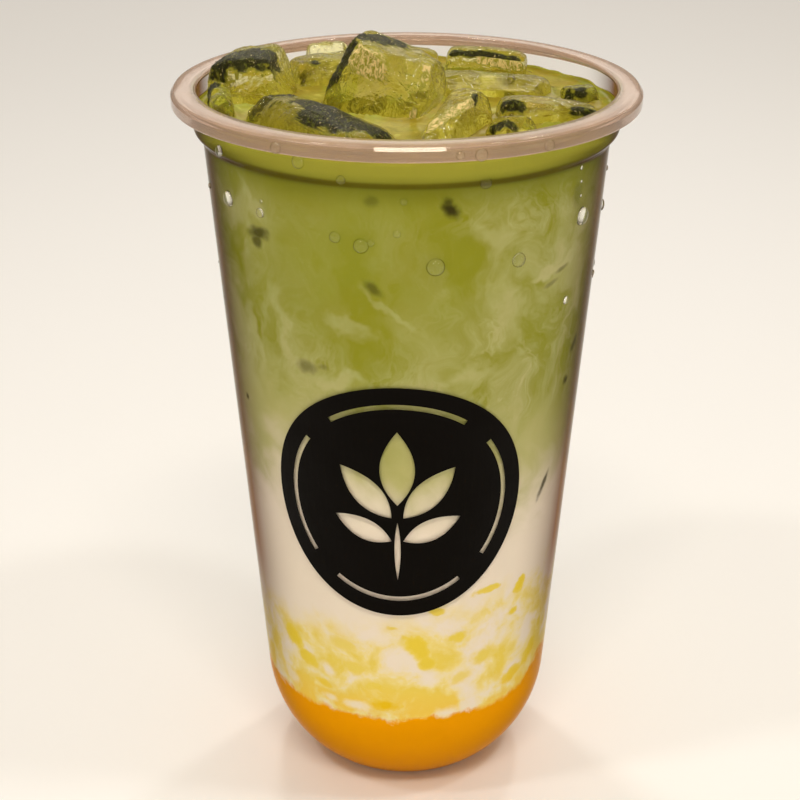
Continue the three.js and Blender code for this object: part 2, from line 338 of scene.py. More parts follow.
def wall_radius(cup, height, inset):
    """Radius of the wall at a height, inset from the outside."""
    shoulder = cup.neck_foot - cup.shoulder_drop
    tangent = cup.corner_z - cup.corner_radius * math.sin(cup.taper)
    if height >= cup.neck_foot:
        return cup.neck_radius - inset
    if height > shoulder:
        share = (height - shoulder) / cup.shoulder_drop
        return cup.wall_top_radius + (cup.neck_radius - cup.wall_top_radius) * share - inset
    if height > tangent:
        return cup.wall_top_radius - (shoulder - height) * math.tan(cup.taper) - inset
    radius = cup.corner_radius - inset
    drop = min(cup.corner_z - height, radius)
    return cup.corner_x + math.sqrt(radius * radius - drop * drop)


def corner_points(cup, inset, lowest, steps=CORNER_STEPS):
    """Points on the rounded corner, from a height up to the straight wall."""
    radius = cup.corner_radius - inset
    start, end = -math.asin((cup.corner_z - lowest) / radius), -cup.taper
    points = []
    for step in range(steps + 1):
        angle = start + (end - start) * step / steps
        x = cup.corner_x + radius * math.cos(angle)
        points.append((x, cup.corner_z + radius * math.sin(angle)))
    return points


def cup_profile(cup):
    """Half section of the cup, from the axis below to the axis inside."""
    top, rim = CUP_HIGH.z, CUP_HIGH.x
    wall, shoulder = cup.wall, cup.neck_foot - cup.shoulder_drop
    foot = [
        (0, cup.foot_recess),
        (cup.foot_inner - cup.foot_recess, cup.foot_recess),
        (cup.foot_inner, 0),
        (cup.foot_outer, 0),
    ]
    outer_corner = corner_points(cup, 0, cup.foot_recess / 2)
    bevel = [
        (rim - BEVEL_OUT * share, top - BEVEL_DROP + BEVEL_RISE * share)
        for share in (0.0, 0.25, 0.75, 1.0)
    ]
    head = [
        outer_corner[-1],
        (cup.wall_top_radius, shoulder),
        (cup.neck_radius, cup.neck_foot),
        (cup.neck_radius, top - wall),
        (rim - wall, top - wall),
        (rim - wall, top - cup.rim_drop),
        (rim, top - cup.rim_drop),
        *bevel,
        (rim - BEVEL_REACH, top),
        (cup.neck_radius - wall, top),
        (cup.neck_radius - wall, cup.neck_foot),
        (cup.wall_top_radius - wall, shoulder),
        corner_points(cup, wall, cup.floor)[-1],
    ]
    inner_corner = corner_points(cup, wall, cup.floor)[::-1]
    inner_floor = [
        (cup.foot_inner + cup.floor, cup.floor),
        (cup.foot_inner - cup.floor, cup.foot_recess + cup.floor),
        (0, cup.foot_recess + cup.floor),
    ]
    profile = round_corners(foot + outer_corner[:1], FOOT_ROUND)[:-1] + outer_corner[:-1]
    profile += round_corners(head, HEAD_ROUND, 5)[:-1]
    return profile + inner_corner[:-1] + inner_floor


# Shader helpers


class Tree:
    """Short calls that add nodes to a material or a group."""

    def __init__(self, tree):
        self.tree = tree

    def add(self, kind, inputs=None, output=0, **settings):
        """A node with its settings and inputs. Returns one of its outputs."""
        node = self.tree.nodes.new(kind)
        for key, value in settings.items():
            setattr(node, key, value)
        for key, value in (inputs or {}).items():
            socket = node.inputs[key]
            if isinstance(value, bpy.types.NodeSocket):
                self.tree.links.new(value, socket)
            else:
                socket.default_value = value
        return node.outputs[output]

    def math(self, operation, first, second=0.0, third=0.0, clamp=False):
        inputs = {0: first, 1: second, 2: third}
        return self.add("ShaderNodeMath", inputs, operation=operation, use_clamp=clamp)

    def times(self, first, second):
        return self.math("MULTIPLY", first, second)

    def plus(self, first, second):
        return self.math("ADD", first, second)

    def minus(self, first, second):
        return self.math("SUBTRACT", first, second)

    def most(self, first, second):
        return self.math("MAXIMUM", first, second)

    def fitted(self, value, factor, start):
        """The value times the factor, plus the start."""
        return self.math("MULTIPLY_ADD", value, factor, start)

    def step(self, value, low, high, out_low=0.0, out_high=1.0):
        """Smooth step of value from low to high."""
        inputs = {0: value, 1: low, 2: high, 3: out_low, 4: out_high}
        return self.add("ShaderNodeMapRange", inputs, interpolation_type="SMOOTHSTEP")

    def mix(self, factor, first, second):
        inputs = {0: factor, 6: first, 7: second}
        return self.add("ShaderNodeMix", inputs, output=2, data_type="RGBA")

    def vector(self, operation, first, second=(0, 0, 0)):
        return self.add("ShaderNodeVectorMath", {0: first, 1: second}, operation=operation)

    def scaled(self, vector, factor):
        inputs = {0: vector, "Scale": factor}
        return self.add("ShaderNodeVectorMath", inputs, operation="SCALE")

    def noise(self, vector, scale, detail=3.0, roughness=0.5, distortion=0.0, color=False, **kind):
        inputs = {"Vector": vector, "Scale": scale, "Detail": detail, "Roughness": roughness}
        inputs["Distortion"] = distortion
        return self.add("ShaderNodeTexNoise", inputs, output=1 if color else 0, **kind)

    def swing(self, vector, scale, detail=3.0, roughness=0.5, distortion=0.0):
        """Noise that swings round zero."""
        return self.minus(self.noise(vector, scale, detail, roughness, distortion), 0.5)

    def line(self, vector, scale, detail, roughness, width):
        """Thin lines where noise crosses its middle."""
        off = self.math("ABSOLUTE", self.swing(vector, scale, detail, roughness))
        return self.step(off, width, 0.0)

    def stirred(self, place, scale, detail, roughness, reach):
        """A place moved by coloured noise, half the reach each way."""
        swirl = self.noise(place, scale, detail, roughness, color=True)
        shift = self.scaled(self.vector("SUBTRACT", swirl, (0.5, 0.5, 0.5)), reach)
        return self.vector("ADD", place, shift)

    def bump(self, height, distance, strength=1.0):
        inputs = {"Height": height, "Distance": distance, "Strength": strength}
        return self.add("ShaderNodeBump", inputs)


def new_material(name):
    """An empty material. Returns it, its tree and its output node."""
    material = bpy.data.materials.new(name)
    material.use_nodes = True
    material.node_tree.nodes.clear()
    output = material.node_tree.nodes.new("ShaderNodeOutputMaterial")
    return material, Tree(material.node_tree), output


def new_group(name, inputs, outputs):
    """A shader group with named sockets. Returns it, its tree, its inputs and its output node."""
    group = bpy.data.node_groups.new(name, "ShaderNodeTree")
    for direction, sockets in (("INPUT", inputs), ("OUTPUT", outputs)):
        for label, kind in sockets.items():
            group.interface.new_socket(label, in_out=direction, socket_type=f"NodeSocket{kind}")
    entry = group.nodes.new("NodeGroupInput")
    return group, Tree(group), entry.outputs, group.nodes.new("NodeGroupOutput")


def shared(name, build):
    """A group that is built once and used by several materials."""
    return bpy.data.node_groups.get(name) or build(name)


def use(tree, group, inputs=None):
    """The first output of a group placed in a tree."""
    return tree.add("ShaderNodeGroup", inputs, node_tree=group)


def object_place(tree):
    """Object coordinates in millimetres."""
    place = tree.add("ShaderNodeTexCoord", output="Object")
    return tree.scaled(place, 1 / MM)


def height_of(tree, place):
    return tree.add("ShaderNodeSeparateXYZ", {0: place}, output="Z")


def facing_away(tree):
    """None where the surface faces the viewer and one at its outline."""
    return tree.add("ShaderNodeLayerWeight", {"Blend": 0.5}, output="Facing")


def solid_surface(tree, output, inputs):
    shader = tree.add("ShaderNodeBsdfPrincipled", inputs)
    tree.tree.links.new(shader, output.inputs["Surface"])


def clear_surface(tree, output, inputs):
    """Lets shadow rays pass, so that light reaches what lies behind clear plastic, ice or water."""
    shader = tree.add("ShaderNodeBsdfPrincipled", inputs)
    shadow = tree.add("ShaderNodeLightPath", output="Is Shadow Ray")
    passing = tree.add("ShaderNodeBsdfTransparent", {"Color": SHADOW_TINT})
    mixed = tree.add("ShaderNodeMixShader", {0: shadow, 1: shader, 2: passing})
    tree.tree.links.new(mixed, output.inputs["Surface"])


def build_wall_place(name):
    """Turn from the front in degrees and height in millimetres of a point."""
    group, tree, _, output = new_group(name, {}, {"Turn": "Float", "Height": "Float"})
    place = object_place(tree)
    parts = tree.add("ShaderNodeSeparateXYZ", {0: place}).node.outputs
    ahead = tree.times(parts["Y"], -1.0)
    turn = tree.math("ARCTAN2", parts["X"], ahead)
    group.links.new(tree.math("DEGREES", turn), output.inputs["Turn"])
    group.links.new(parts["Z"], output.inputs["Height"])
    return group


def build_blot(name):
    """A soft oval spot on the wall, one in its middle and none outside."""
    floats = ("Turn", "Height", "At turn", "At height", "Wide", "Tall", "Slant", "Rough")
    group, tree, inputs, output = new_group(name, dict.fromkeys(floats, "Float"), {"Mask": "Float"})
    across = tree.minus(inputs["Turn"], inputs["At turn"])
    above = tree.minus(inputs["Height"], inputs["At height"])
    leaned = tree.fitted(above, inputs["Slant"], across)
    wide = tree.math("POWER", tree.math("DIVIDE", leaned, inputs["Wide"]), 2.0)
    tall = tree.math("POWER", tree.math("DIVIDE", above, inputs["Tall"]), 2.0)
    far = tree.math("SQRT", tree.plus(wide, tall))
    uneven = tree.plus(far, inputs["Rough"])
    group.links.new(tree.step(uneven, 1.1, 0.25), output.inputs["Mask"])
    return group


# Drink material

# Painted shade along the shoulder and the film's top edge
PAINTED_LINE_SHADE = tone(124, 112, 24)

# Ice that touches the wall inside:
# turn, height, half width in degrees, half height, slant, darkness
SUNKEN = (
    (-46, 132.6, 5.6, 1.7, -0.7, 0.8),
    (-46.8, 130.8, 2.8, 1.9, 0, 0.7),
    (11.4, 141, 2.8, 2.4, 0.7, 0.95),
    (10.6, 142.4, 1.8, 1.6, 0, 0.75),
    (-9.4, 125.2, 2.6, 2.1, 1, 0.6),
    (-31.5, 106.6, 4.4, 1.9, 0.2, 0.5),
    (-25.5, 107.2, 2.4, 0.9, 0, 0.35),
    (54.1, 74.9, 1.9, 4, -0.9, 0.85),
    (61.5, 97.4, 2.2, 1.3, 0, 0.8),
    (-63.3, 93.2, 1.7, 1, 0, 0.8),
    (-9.4, 142.9, 2.6, 1.5, 0, 0.35),
    (54.5, 139.4, 3.2, 3.4, 0, 0.3),
    (65, 104.8, 2.6, 2.2, -0.8, 0.6),
    (46, 121.9, 3, 0.9, -2.4, 0.4),
    (50.5, 124.3, 3.4, 0.8, -2.6, 0.45),
    (142, 128, 4, 2.6, 0.4, 0.85),
    (-128, 112, 3.6, 2.2, -0.5, 0.6),
    (176, 101, 3, 2, 0, 0.5),
    (110, 88, 2, 1.6, 0, 0.7),
)

# Mango in the marbling: turn, height, half width in degrees, half height, slant, strength
MANGO = (
    (-49, 38, 7, 4.6, 1, 0.9),
    (-42, 34.5, 7.5, 2.6, 0.8, 0.8),
    (-34.5, 29.2, 8, 1.9, 0.5, 0.75),
    (-25, 41.5, 7, 2.4, 0.3, 0.45),
    (-19, 35.5, 9, 2.6, 0, 0.5),
    (-5, 47, 5, 1.3, 0.3, 0.5),
    (3.5, 42, 6.5, 4.2, 0.9, 0.85),
    (8, 38, 4, 2.2, 0, 0.8),
    (11, 51, 4.4, 1.4, 0.3, 0.6),
    (20, 43.8, 5, 2, -0.8, 0.65),
    (20.5, 33, 7, 2.2, -0.4, 0.4),
    (31, 37.5, 7, 2.6, 0, 0.5),
    (31, 54.2, 8, 1.5, -0.4, 0.6),
    (45.5, 51.5, 4.2, 3, -0.6, 0.9),
    (44, 46, 3.6, 1.5, 0, 0.8),
    (47, 28.5, 7, 3, -0.8, 0.8),
    (58.5, 32, 6, 5, -0.9, 0.9),
    (65, 37.5, 4.5, 4, -0.6, 0.7),
    (-8, 26.6, 9, 2.8, 0.2, 1),
    (-12, 31.5, 8, 2.6, 0.5, 0.55),
    (-72, 27, 7, 5, 0, 0.7),
)

# Single wisps, in the same order
STREAKS = (
    (48.5, 125, 10, 1.6, -2.2, 0.95),
    (58, 129.5, 6, 2, -1.4, 0.6),
    (-50, 141, 3, 6, 0.3, 0.55),
    (-46.5, 137.5, 6, 2.6, 0.5, 0.5),
    (-17, 116, 7, 3, 1.6, 0.4),
    (-5.5, 120.5, 2.2, 8, 1.1, 0.35),
    (24, 136, 8, 4, 0.6, 0.5),
    (30, 118, 6, 7, 0.4, 0.5),
    (20, 106, 10, 3, -0.4, 0.5),
    (-40, 112, 3, 10, 0.4, 0.5),
    (-52, 108, 3, 12, 0.2, 0.5),
    (-22, 104, 12, 2, 0.2, 0.6),
)

# Lumps of milk in the marbling, in the same order
LUMPS = (
    (-31.8, 33.6, 4.2, 2.4, 0.6, 0.95),
    (-9, 44.2, 7, 2.4, 0.5, 0.7),
    (8.9, 33.4, 4.6, 2.6, 0, 0.95),
    (27, 41.4, 5.5, 2.4, -0.5, 0.85),
    (16.4, 24, 6.5, 1.9, 0, 0.95),
    (-21, 25.6, 8, 2, 0.4, 0.9),
    (39.5, 41, 4, 3.4, -0.8, 0.8),
    (-31, 26, 5, 1.5, 0.4, 0.8),
    (25.5, 24.4, 6, 2.2, -0.2, 0.8),
    (-52, 26.5, 6, 2.2, 0.8, 0.7),
    (53, 39.5, 3.6, 3.4, -0.6, 0.75),
    (24, 29, 6, 2.2, 0, 0.6),
    (36, 47, 5, 2.4, 0, 0.7),
)


def spots(tree, where, table, rough):
    """Strongest of the soft spots that a table places on the wall."""
    group = shared("blot", build_blot)
    strongest = 0.0
    for at_turn, at_height, wide, tall, slant, strength in table:
        inputs = {"Turn": where["Turn"], "Height": where["Height"], "Rough": rough}
        inputs |= {"At turn": at_turn, "At height": at_height}
        inputs |= {"Wide": wide, "Tall": tall, "Slant": slant}
        mask = tree.times(use(tree, group, inputs), strength)
        strongest = tree.most(mask, strongest)
    return strongest


def matcha_and_milk(tree, look, place, where):
    """Milk that blends upward into matcha, with wisps drawn up at the sides."""
    turn, height = where["Turn"], where["Height"]
    swirled = tree.stirred(place, 0.035, 3, 0.55, 34)
    curled = tree.stirred(swirled, 0.13, 2, 0.5, 9)
    tall = tree.vector("MULTIPLY", curled, (1.0, 1.0, 0.36))

    drift = tree.swing(swirled, 0.05, 4, 0.55)
    lifted = tree.fitted(drift, 40.0, height)
    lean = tree.math("SINE", tree.math("RADIANS", turn))
    lifted = tree.fitted(lean, 4.0, lifted)
    middle = look.milk_top / MM
    green = tree.step(lifted, middle - 28, middle + 32)
    body = tree.mix(tree.step(green, 0.0, 0.5), look.milk, look.blend)
    body = tree.mix(tree.step(green, 0.4, 1.0), body, look.matcha)
    deep = tree.step(tree.noise(swirled, 0.05, 3, 0.5), 0.42, 0.62)
    ahead = tree.step(tree.math("ABSOLUTE", tree.plus(turn, 12.0)), 60.0, 10.0, 0.35, 1.0)
    deep = tree.times(tree.times(deep, ahead), tree.step(green, 0.7, 1.0))
    body = tree.mix(deep, body, look.matcha_deep)

    right = tree.step(turn, 2.0, 34.0)
    left = tree.step(turn, -34.0, -56.0)
    foot = tree.times(tree.step(height, 124.0, 98.0), 0.85)
    sides = tree.most(tree.most(right, left), foot)
    fade = tree.step(height, 147.0, 137.0)
    amount = tree.times(tree.fitted(sides, 0.76, 0.2), fade)
    haze = tree.step(tree.noise(tall, 0.07, 5, 0.58), 0.34, 0.66, 0.0, 0.8)
    thread = tree.line(tall, 0.12, 4, 0.65, 0.06)
    hair = tree.line(tall, 0.34, 4, 0.7, 0.04)
    lines = tree.fitted(hair, 0.08, tree.times(thread, 0.28))
    lines = tree.times(lines, tree.step(tree.noise(swirled, 0.08, 3), 0.40, 0.62))
    veil = tree.times(tree.math("ADD", haze, lines, clamp=True), amount)
    body = tree.mix(tree.times(veil, tree.step(green, 0.2, 0.7)), body, look.wisp)
    feather = tree.noise(place, 0.11, 3, 0.6, color=True)
    feather = tree.add("ShaderNodeSeparateXYZ", {0: feather}).node.outputs
    drawn = {
        "Turn": tree.fitted(feather["X"], 20.0, tree.minus(turn, 10.0)),
        "Height": tree.fitted(feather["Y"], 14.0, tree.minus(height, 7.0)),
    }
    streak = tree.times(spots(tree, drawn, STREAKS, 0.0), fade)
    return tree.mix(streak, body, look.wisp)


def marbling(tree, look, place, where, body):
    """Torn patches of mango between lumps of milk, up to the marbling's top."""
    turn, height = where["Turn"], where["Height"]
    wavy = tree.fitted(tree.swing(place, 0.11), 16.0, height)
    lean = tree.math("SINE", tree.math("RADIANS", turn))
    leaning = tree.fitted(lean, -5.0, wavy)
    marbled = tree.step(leaning, look.marble_top / MM + 3, look.marble_top / MM - 7)
    rough = tree.times(tree.swing(place, 0.2, 3, 0.6), 1.7)
    torn = tree.noise(place, 0.12, 4, 0.6, 0.25)
    richer = tree.fitted(tree.step(height, 46.0, 26.0), 0.09, torn)
    patch = spots(tree, where, MANGO, rough)
    pale = tree.most(tree.step(richer, 0.38, 0.58, 0.0, 0.8), tree.step(patch, 0.0, 0.6))
    yellow = tree.most(tree.step(richer, 0.5, 0.7, 0.0, 0.7), patch)
    lump = spots(tree, where, LUMPS, rough)
    kept = tree.minus(1.0, lump)
    mango = tree.mix(tree.times(pale, kept), look.milk, look.marble_pale)
    golden = tree.step(height, 34.0, 23.0)
    strong = tree.mix(golden, look.marble_yellow, look.marble_gold)
    mango = tree.mix(tree.times(yellow, kept), mango, strong)
    patched = tree.most(marbled, tree.step(patch, 0.1, 0.5))
    return tree.mix(patched, body, mango)


def puree(tree, look, place, where, body):
    """Puree with a torn edge that climbs at the right."""
    turn, height = where["Turn"], where["Height"]
    away = tree.math("DIVIDE", tree.minus(turn, 72.0), 15.0)
    bell = tree.math("EXPONENT", tree.times(tree.math("POWER", away, 2.0), -1.0))
    climb = tree.times(bell, -5.0)
    ragged = tree.swing(place, 0.2, 4, 0.65, 0.3)
    edge = tree.plus(tree.fitted(ragged, 7.0, height), climb)
    top = look.puree_top / MM
    filled = tree.step(edge, top + 0.9, top - 0.7)
    fruit = tree.mix(tree.step(height, 3.0, 20.0), look.puree_deep, look.puree)
    cloud = tree.step(tree.noise(place, 0.09), 0.5, 0.75, 0.0, 0.35)
    fruit = tree.mix(cloud, fruit, look.puree_deep)
    return tree.mix(filled, body, fruit)


def drink_layers(name):
    """Colour of the drink from the puree at the bottom to the matcha at the top."""
    group, tree, _, output = new_group(name, {}, {"Color": "Color"})
    look, cup = bpy.context.scene.latte_drink, bpy.context.scene.latte_cup
    place = object_place(tree)
    where = use(tree, shared("wall_place", build_wall_place)).node.outputs
    body = matcha_and_milk(tree, look, place, where)
    body = marbling(tree, look, place, where, body)
    body = puree(tree, look, place, where, body)

    # Painted light: the drink in the neck takes a lighter tone against the rim's shadow.
    painted_neck_light = tree.step(where["Height"], 145.0, 148.5, 0.0, 0.65)
    body = tree.mix(painted_neck_light, body, look.neck)
    # Painted shade: the shoulder and the film's top edge show as darker lines.
    shoulder = (cup.neck_foot - cup.shoulder_drop / 2) / MM
    off = tree.math("ABSOLUTE", tree.minus(where["Height"], shoulder))
    line = tree.times(tree.step(off, 1.2, 0.2), 0.45)
    line = tree.most(line, tree.step(where["Height"], 150.2, 151.6, 0.0, 0.75))
    body = tree.mix(line, body, PAINTED_LINE_SHADE)

    grain = tree.times(tree.swing(place, 0.5, 2), 0.8)
    body = tree.mix(spots(tree, where, SUNKEN, grain), body, look.blot)
    group.links.new(body, output.inputs["Color"])
    return group


def drink_materials():
    """The drink against the wall, and its open surface."""
    look = bpy.context.scene.latte_drink
    material, tree, output = new_material("drink_wall")
    colour = use(tree, shared("drink_layers", drink_layers))
    ripple = tree.noise(object_place(tree), 0.25, 3, 0.5)
    rough = tree.step(tree.noise(object_place(tree), 0.4, 2), 0.3, 0.7, 0.55, 0.7)
    inputs = {"Base Color": colour, "Roughness": rough, "Specular IOR Level": 0.0}
    inputs["Normal"] = tree.bump(ripple, 0.0002, 0.5)
    solid_surface(tree, output, inputs)

    open_top, tree, output = new_material("drink_surface")
    place = object_place(tree)
    cloud = tree.noise(place, 0.09, 4, 0.6, 0.4)
    colour = tree.mix(tree.step(cloud, 0.4, 0.62), look.surface, look.matcha_deep)
    drawn = tree.vector("MULTIPLY", place, (1.0, 1.0, 0.4))
    shade = tree.noise(drawn, 0.28, 4, 0.6, 0.8)
    # Painted light and painted shade: under the ice the drink takes a lighter tone, with darker and
    # lighter patches.
    under = tree.step(height_of(tree, place), 150.4, 149.2)
    dark = tree.times(tree.step(shade, 0.52, 0.36), under)
    light = tree.times(tree.step(shade, 0.56, 0.66), under)
    colour = tree.mix(under, colour, look.hollow)
    colour = tree.mix(dark, colour, look.hollow_dark)
    colour = tree.mix(light, colour, look.hollow_light)
    foam = tree.noise(place, 0.7, 3, 0.6)
    colour = tree.mix(tree.step(foam, 0.66, 0.74, 0.0, 0.4), colour, look.wisp)
    inputs = {"Base Color": colour, "Roughness": tree.step(foam, 0.3, 0.7, 0.06, 0.2)}
    inputs["Normal"] = tree.bump(tree.noise(place, 0.3, 3), 0.0004, 0.4)
    inputs["Specular IOR Level"] = 0.2
    solid_surface(tree, output, inputs)
    return material, open_top


# Other materials

# The thin wall bends light far less than the thick rim.
WALL_IOR = 1.035
RIM_IOR = 1.46
ICE_IOR = 1.31
DROP_IOR = 1.3
WORN_INK = tone(34, 26, 18)
DROP_TINTS = tone(255, 255, 250), tone(250, 252, 240)
# Painted shade at the drops' outline
DROP_OUTLINE_SHADE = tone(124, 116, 54)


def build_smudge(name):
    """Fine unevenness of moulded plastic and wet surfaces."""
    group, tree, inputs, output = new_group(
        name, {"Low": "Float", "High": "Float"}, {"Roughness": "Float", "Relief": "Float"}
    )
    place = object_place(tree)
    cloud = tree.noise(place, 0.12, 4, 0.6)
    fine = tree.noise(place, 1.4, 3, 0.5)
    both = tree.fitted(fine, 0.35, cloud)
    span = tree.minus(inputs["High"], inputs["Low"])
    rough = tree.fitted(tree.step(both, 0.45, 0.95), span, inputs["Low"])
    group.links.new(rough, output.inputs["Roughness"])
    group.links.new(both, output.inputs["Relief"])
    return group


def smudged(tree, low, high):
    """Roughness between two values, and the relief that goes with it."""
    made = use(tree, shared("smudge", build_smudge), {"Low": low, "High": high})
    return made.node.outputs["Roughness"], made.node.outputs["Relief"]


def cup_materials():
    """Clear plastic below the rim's skirt, and milky plastic above."""
    look = bpy.context.scene.latte_cup
    clear, tree, output = new_material("cup_clear")
    rough, relief = smudged(tree, 0.03, 0.10)
    # Painted shade: a brown tint that grows towards the wall's outline and at the shoulder step,
    # faded near the bottom.
    facing = facing_away(tree)
    edge = tree.step(facing, 0.42, 0.82)
    height = height_of(tree, object_place(tree))
    step_off = tree.math("ABSOLUTE", tree.minus(height, 147.0))
    painted_step_shade = tree.times(tree.step(step_off, 3.0, 1.0), tree.step(facing, 0.15, 0.6))
    edge = tree.most(edge, tree.times(painted_step_shade, 0.8))
    edge = tree.times(edge, tree.step(height, 8.0, 60.0, 0.35, 1.0))
    tint = tree.mix(edge, look.clear, look.painted_edge_shade)
    inputs = {"Base Color": tint, "Roughness": rough, "Transmission Weight": 1.0, "IOR": WALL_IOR}
    inputs["Normal"] = tree.bump(relief, 0.00005, 0.3)
    inputs["Specular Tint"] = look.gleam
    clear_surface(tree, output, inputs)

    milky, tree, output = new_material("cup_milky")
    rough, relief = smudged(tree, 0.03, 0.09)
    patch = tree.noise(object_place(tree), 0.07, 3, 0.6)
    darker = tuple(channel * 0.9 for channel in look.milky[:3]) + (1.0,)
    tint = tree.mix(tree.step(patch, 0.35, 0.7), look.milky, darker)
    inputs = {"Base Color": tint, "Roughness": rough, "Transmission Weight": 0.7, "IOR": RIM_IOR}
    inputs["Normal"] = tree.bump(relief, 0.00006, 0.3)
    clear_surface(tree, output, inputs)
    return clear, milky


def ice_materials():
    """Wet clear ice with painted shade at its outline, crazed ice darkened by painted shade, and
    pale frosted ice with painted glints.
    """
    look = bpy.context.scene.latte_ice
    clear, tree, output = new_material("ice_clear")
    rough, _ = smudged(tree, 0.0, 0.05)
    # Painted shade: the clear ice turns olive towards its outline.
    facing = facing_away(tree)
    tint = tree.mix(tree.step(facing, 0.6, 1.0, 0.0, 0.45), look.tint, look.olive)
    slow = tree.noise(object_place(tree), 0.3, 2, 0.5, 0.6)
    fine = tree.noise(object_place(tree), 1.3, 3, 0.6, 0.5)
    ridged = tree.vector("MULTIPLY", object_place(tree), (1.0, 1.0, 0.35))
    ridge = tree.noise(ridged, 0.7, 2, 0.5, 0.3)
    melt = tree.fitted(fine, 0.2, tree.fitted(ridge, 0.25, slow))
    inputs = {"Base Color": tint, "Roughness": rough, "Transmission Weight": 1.0, "IOR": ICE_IOR}
    inputs |= {"Specular IOR Level": 1.0, "Normal": tree.bump(melt, 0.0020, 0.55)}
    clear_surface(tree, output, inputs)

    made = [clear]
    # Crazed patches are darkened by painted shade, and frosted patches are lightened by painted
    # glints.
    for name, low, high, passing, patchy, sparse in (
        ("ice_crazed", look.dark, look.olive, 0.4, 0.65, 0.05),
        ("ice_frosted", look.green, look.frost_and_glint, 0.1, 0.15, 0.0),
    ):
        material, tree, output = new_material(name)
        place = object_place(tree)
        drawn = tree.vector("MULTIPLY", place, (1.0, 1.0, 0.45))
        crack = tree.noise(drawn, 1.5, 5, 0.72, 0.9)
        slow = tree.noise(drawn, 0.33, 3, 0.6, 0.5)
        mixed = tree.mix(tree.step(crack, 0.44 + sparse, 0.58 + sparse), low, high)
        mixed = tree.mix(tree.step(slow, 0.5, 0.66, 0.0, patchy), mixed, low)
        # Painted glints: cream flecks on the crazed and frosted ice.
        glint_fleck = tree.step(tree.noise(drawn, 2.1, 3, 0.6, 0.6), 0.58 + sparse, 0.66 + sparse)
        mixed = tree.mix(glint_fleck, mixed, look.frost_and_glint)
        inside = tree.add("ShaderNodeAttribute", attribute_name="depth", output="Fac")
        mixed = tree.mix(tree.step(inside, 0.0, 0.3), look.green, mixed)
        inputs = {"Base Color": mixed, "Roughness": tree.step(crack, 0.3, 0.7, 0.03, 0.1)}
        inputs |= {"Transmission Weight": passing, "IOR": ICE_IOR, "Specular IOR Level": 0.2}
        inputs["Normal"] = tree.bump(crack, 0.0012, 0.55)
        clear_surface(tree, output, inputs)
        made.append(material)
    return made


def ink_material():
    look = bpy.context.scene.latte_badge
    material, tree, output = new_material("print_ink")
    rough, relief = smudged(tree, 0.42, 0.6)
    worn = tree.step(tree.noise(object_place(tree), 2.2, 4, 0.7), 0.66, 0.8)
    inputs = {"Base Color": tree.mix(worn, look.ink, WORN_INK), "Roughness": rough}
    inputs |= {"Specular IOR Level": 0.05, "Normal": tree.bump(relief, 0.00003, 0.5)}
    solid_surface(tree, output, inputs)
    return material


def water_material():
    material, tree, output = new_material("water")
    place = object_place(tree)
    ripple = tree.bump(tree.noise(place, 0.9, 2), 0.00005, 0.4)
    tint = tree.mix(tree.noise(place, 0.5, 2), *DROP_TINTS)
    # Painted shade: the drops turn dark olive towards their outline.
    tint = tree.mix(tree.step(facing_away(tree), 0.24, 0.66), tint, DROP_OUTLINE_SHADE)
    inputs = {"Base Color": tint, "Roughness": 0.0, "Transmission Weight": 1.0, "IOR": DROP_IOR}
    inputs |= {"Normal": ripple, "Specular IOR Level": 1.0}
    clear_surface(tree, output, inputs)
    return material


# Pieces


class LATTE_OT_cup(bpy.types.Operator):
    """Turn the clear cup with its rounded bottom, stepped neck and flanged rim"""

    bl_idname = "latte.cup"
    bl_label = "Cup"

    def execute(self, context):
        cup = context.scene.latte_cup
        profile = cup_profile(cup)
        columns = [turned(profile, turn) for turn in full_turn(cup.around)]
        piece = link("cup_shell", grid_mesh("cup_shell", columns))
        coat(piece, cup_materials())
        skirt_foot = CUP_HIGH.z - cup.rim_drop - 0.1 * MM
        dry = CUP_HIGH.z - DRY_DROP
        for face in piece.data.polygons:
            inner = face.center.xy.length < cup.neck_radius - cup.wall / 2
            face.material_index = 1 if face.center.z > (dry if inner else skirt_foot) else 0
        hand_in(piece, "cup_plastic", "cup")
        return {"FINISHED"}


def ice_copy(node):
    """A CAD block's mesh with its loose corners merged."""
    work = bmesh.new()
    work.from_mesh(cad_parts[node].data)
    bmesh.ops.remove_doubles(work, verts=work.verts, dist=MERGED)
    mesh = bpy.data.meshes.new(node + "_clear")
    work.to_mesh(mesh)
    work.free()
    return mesh
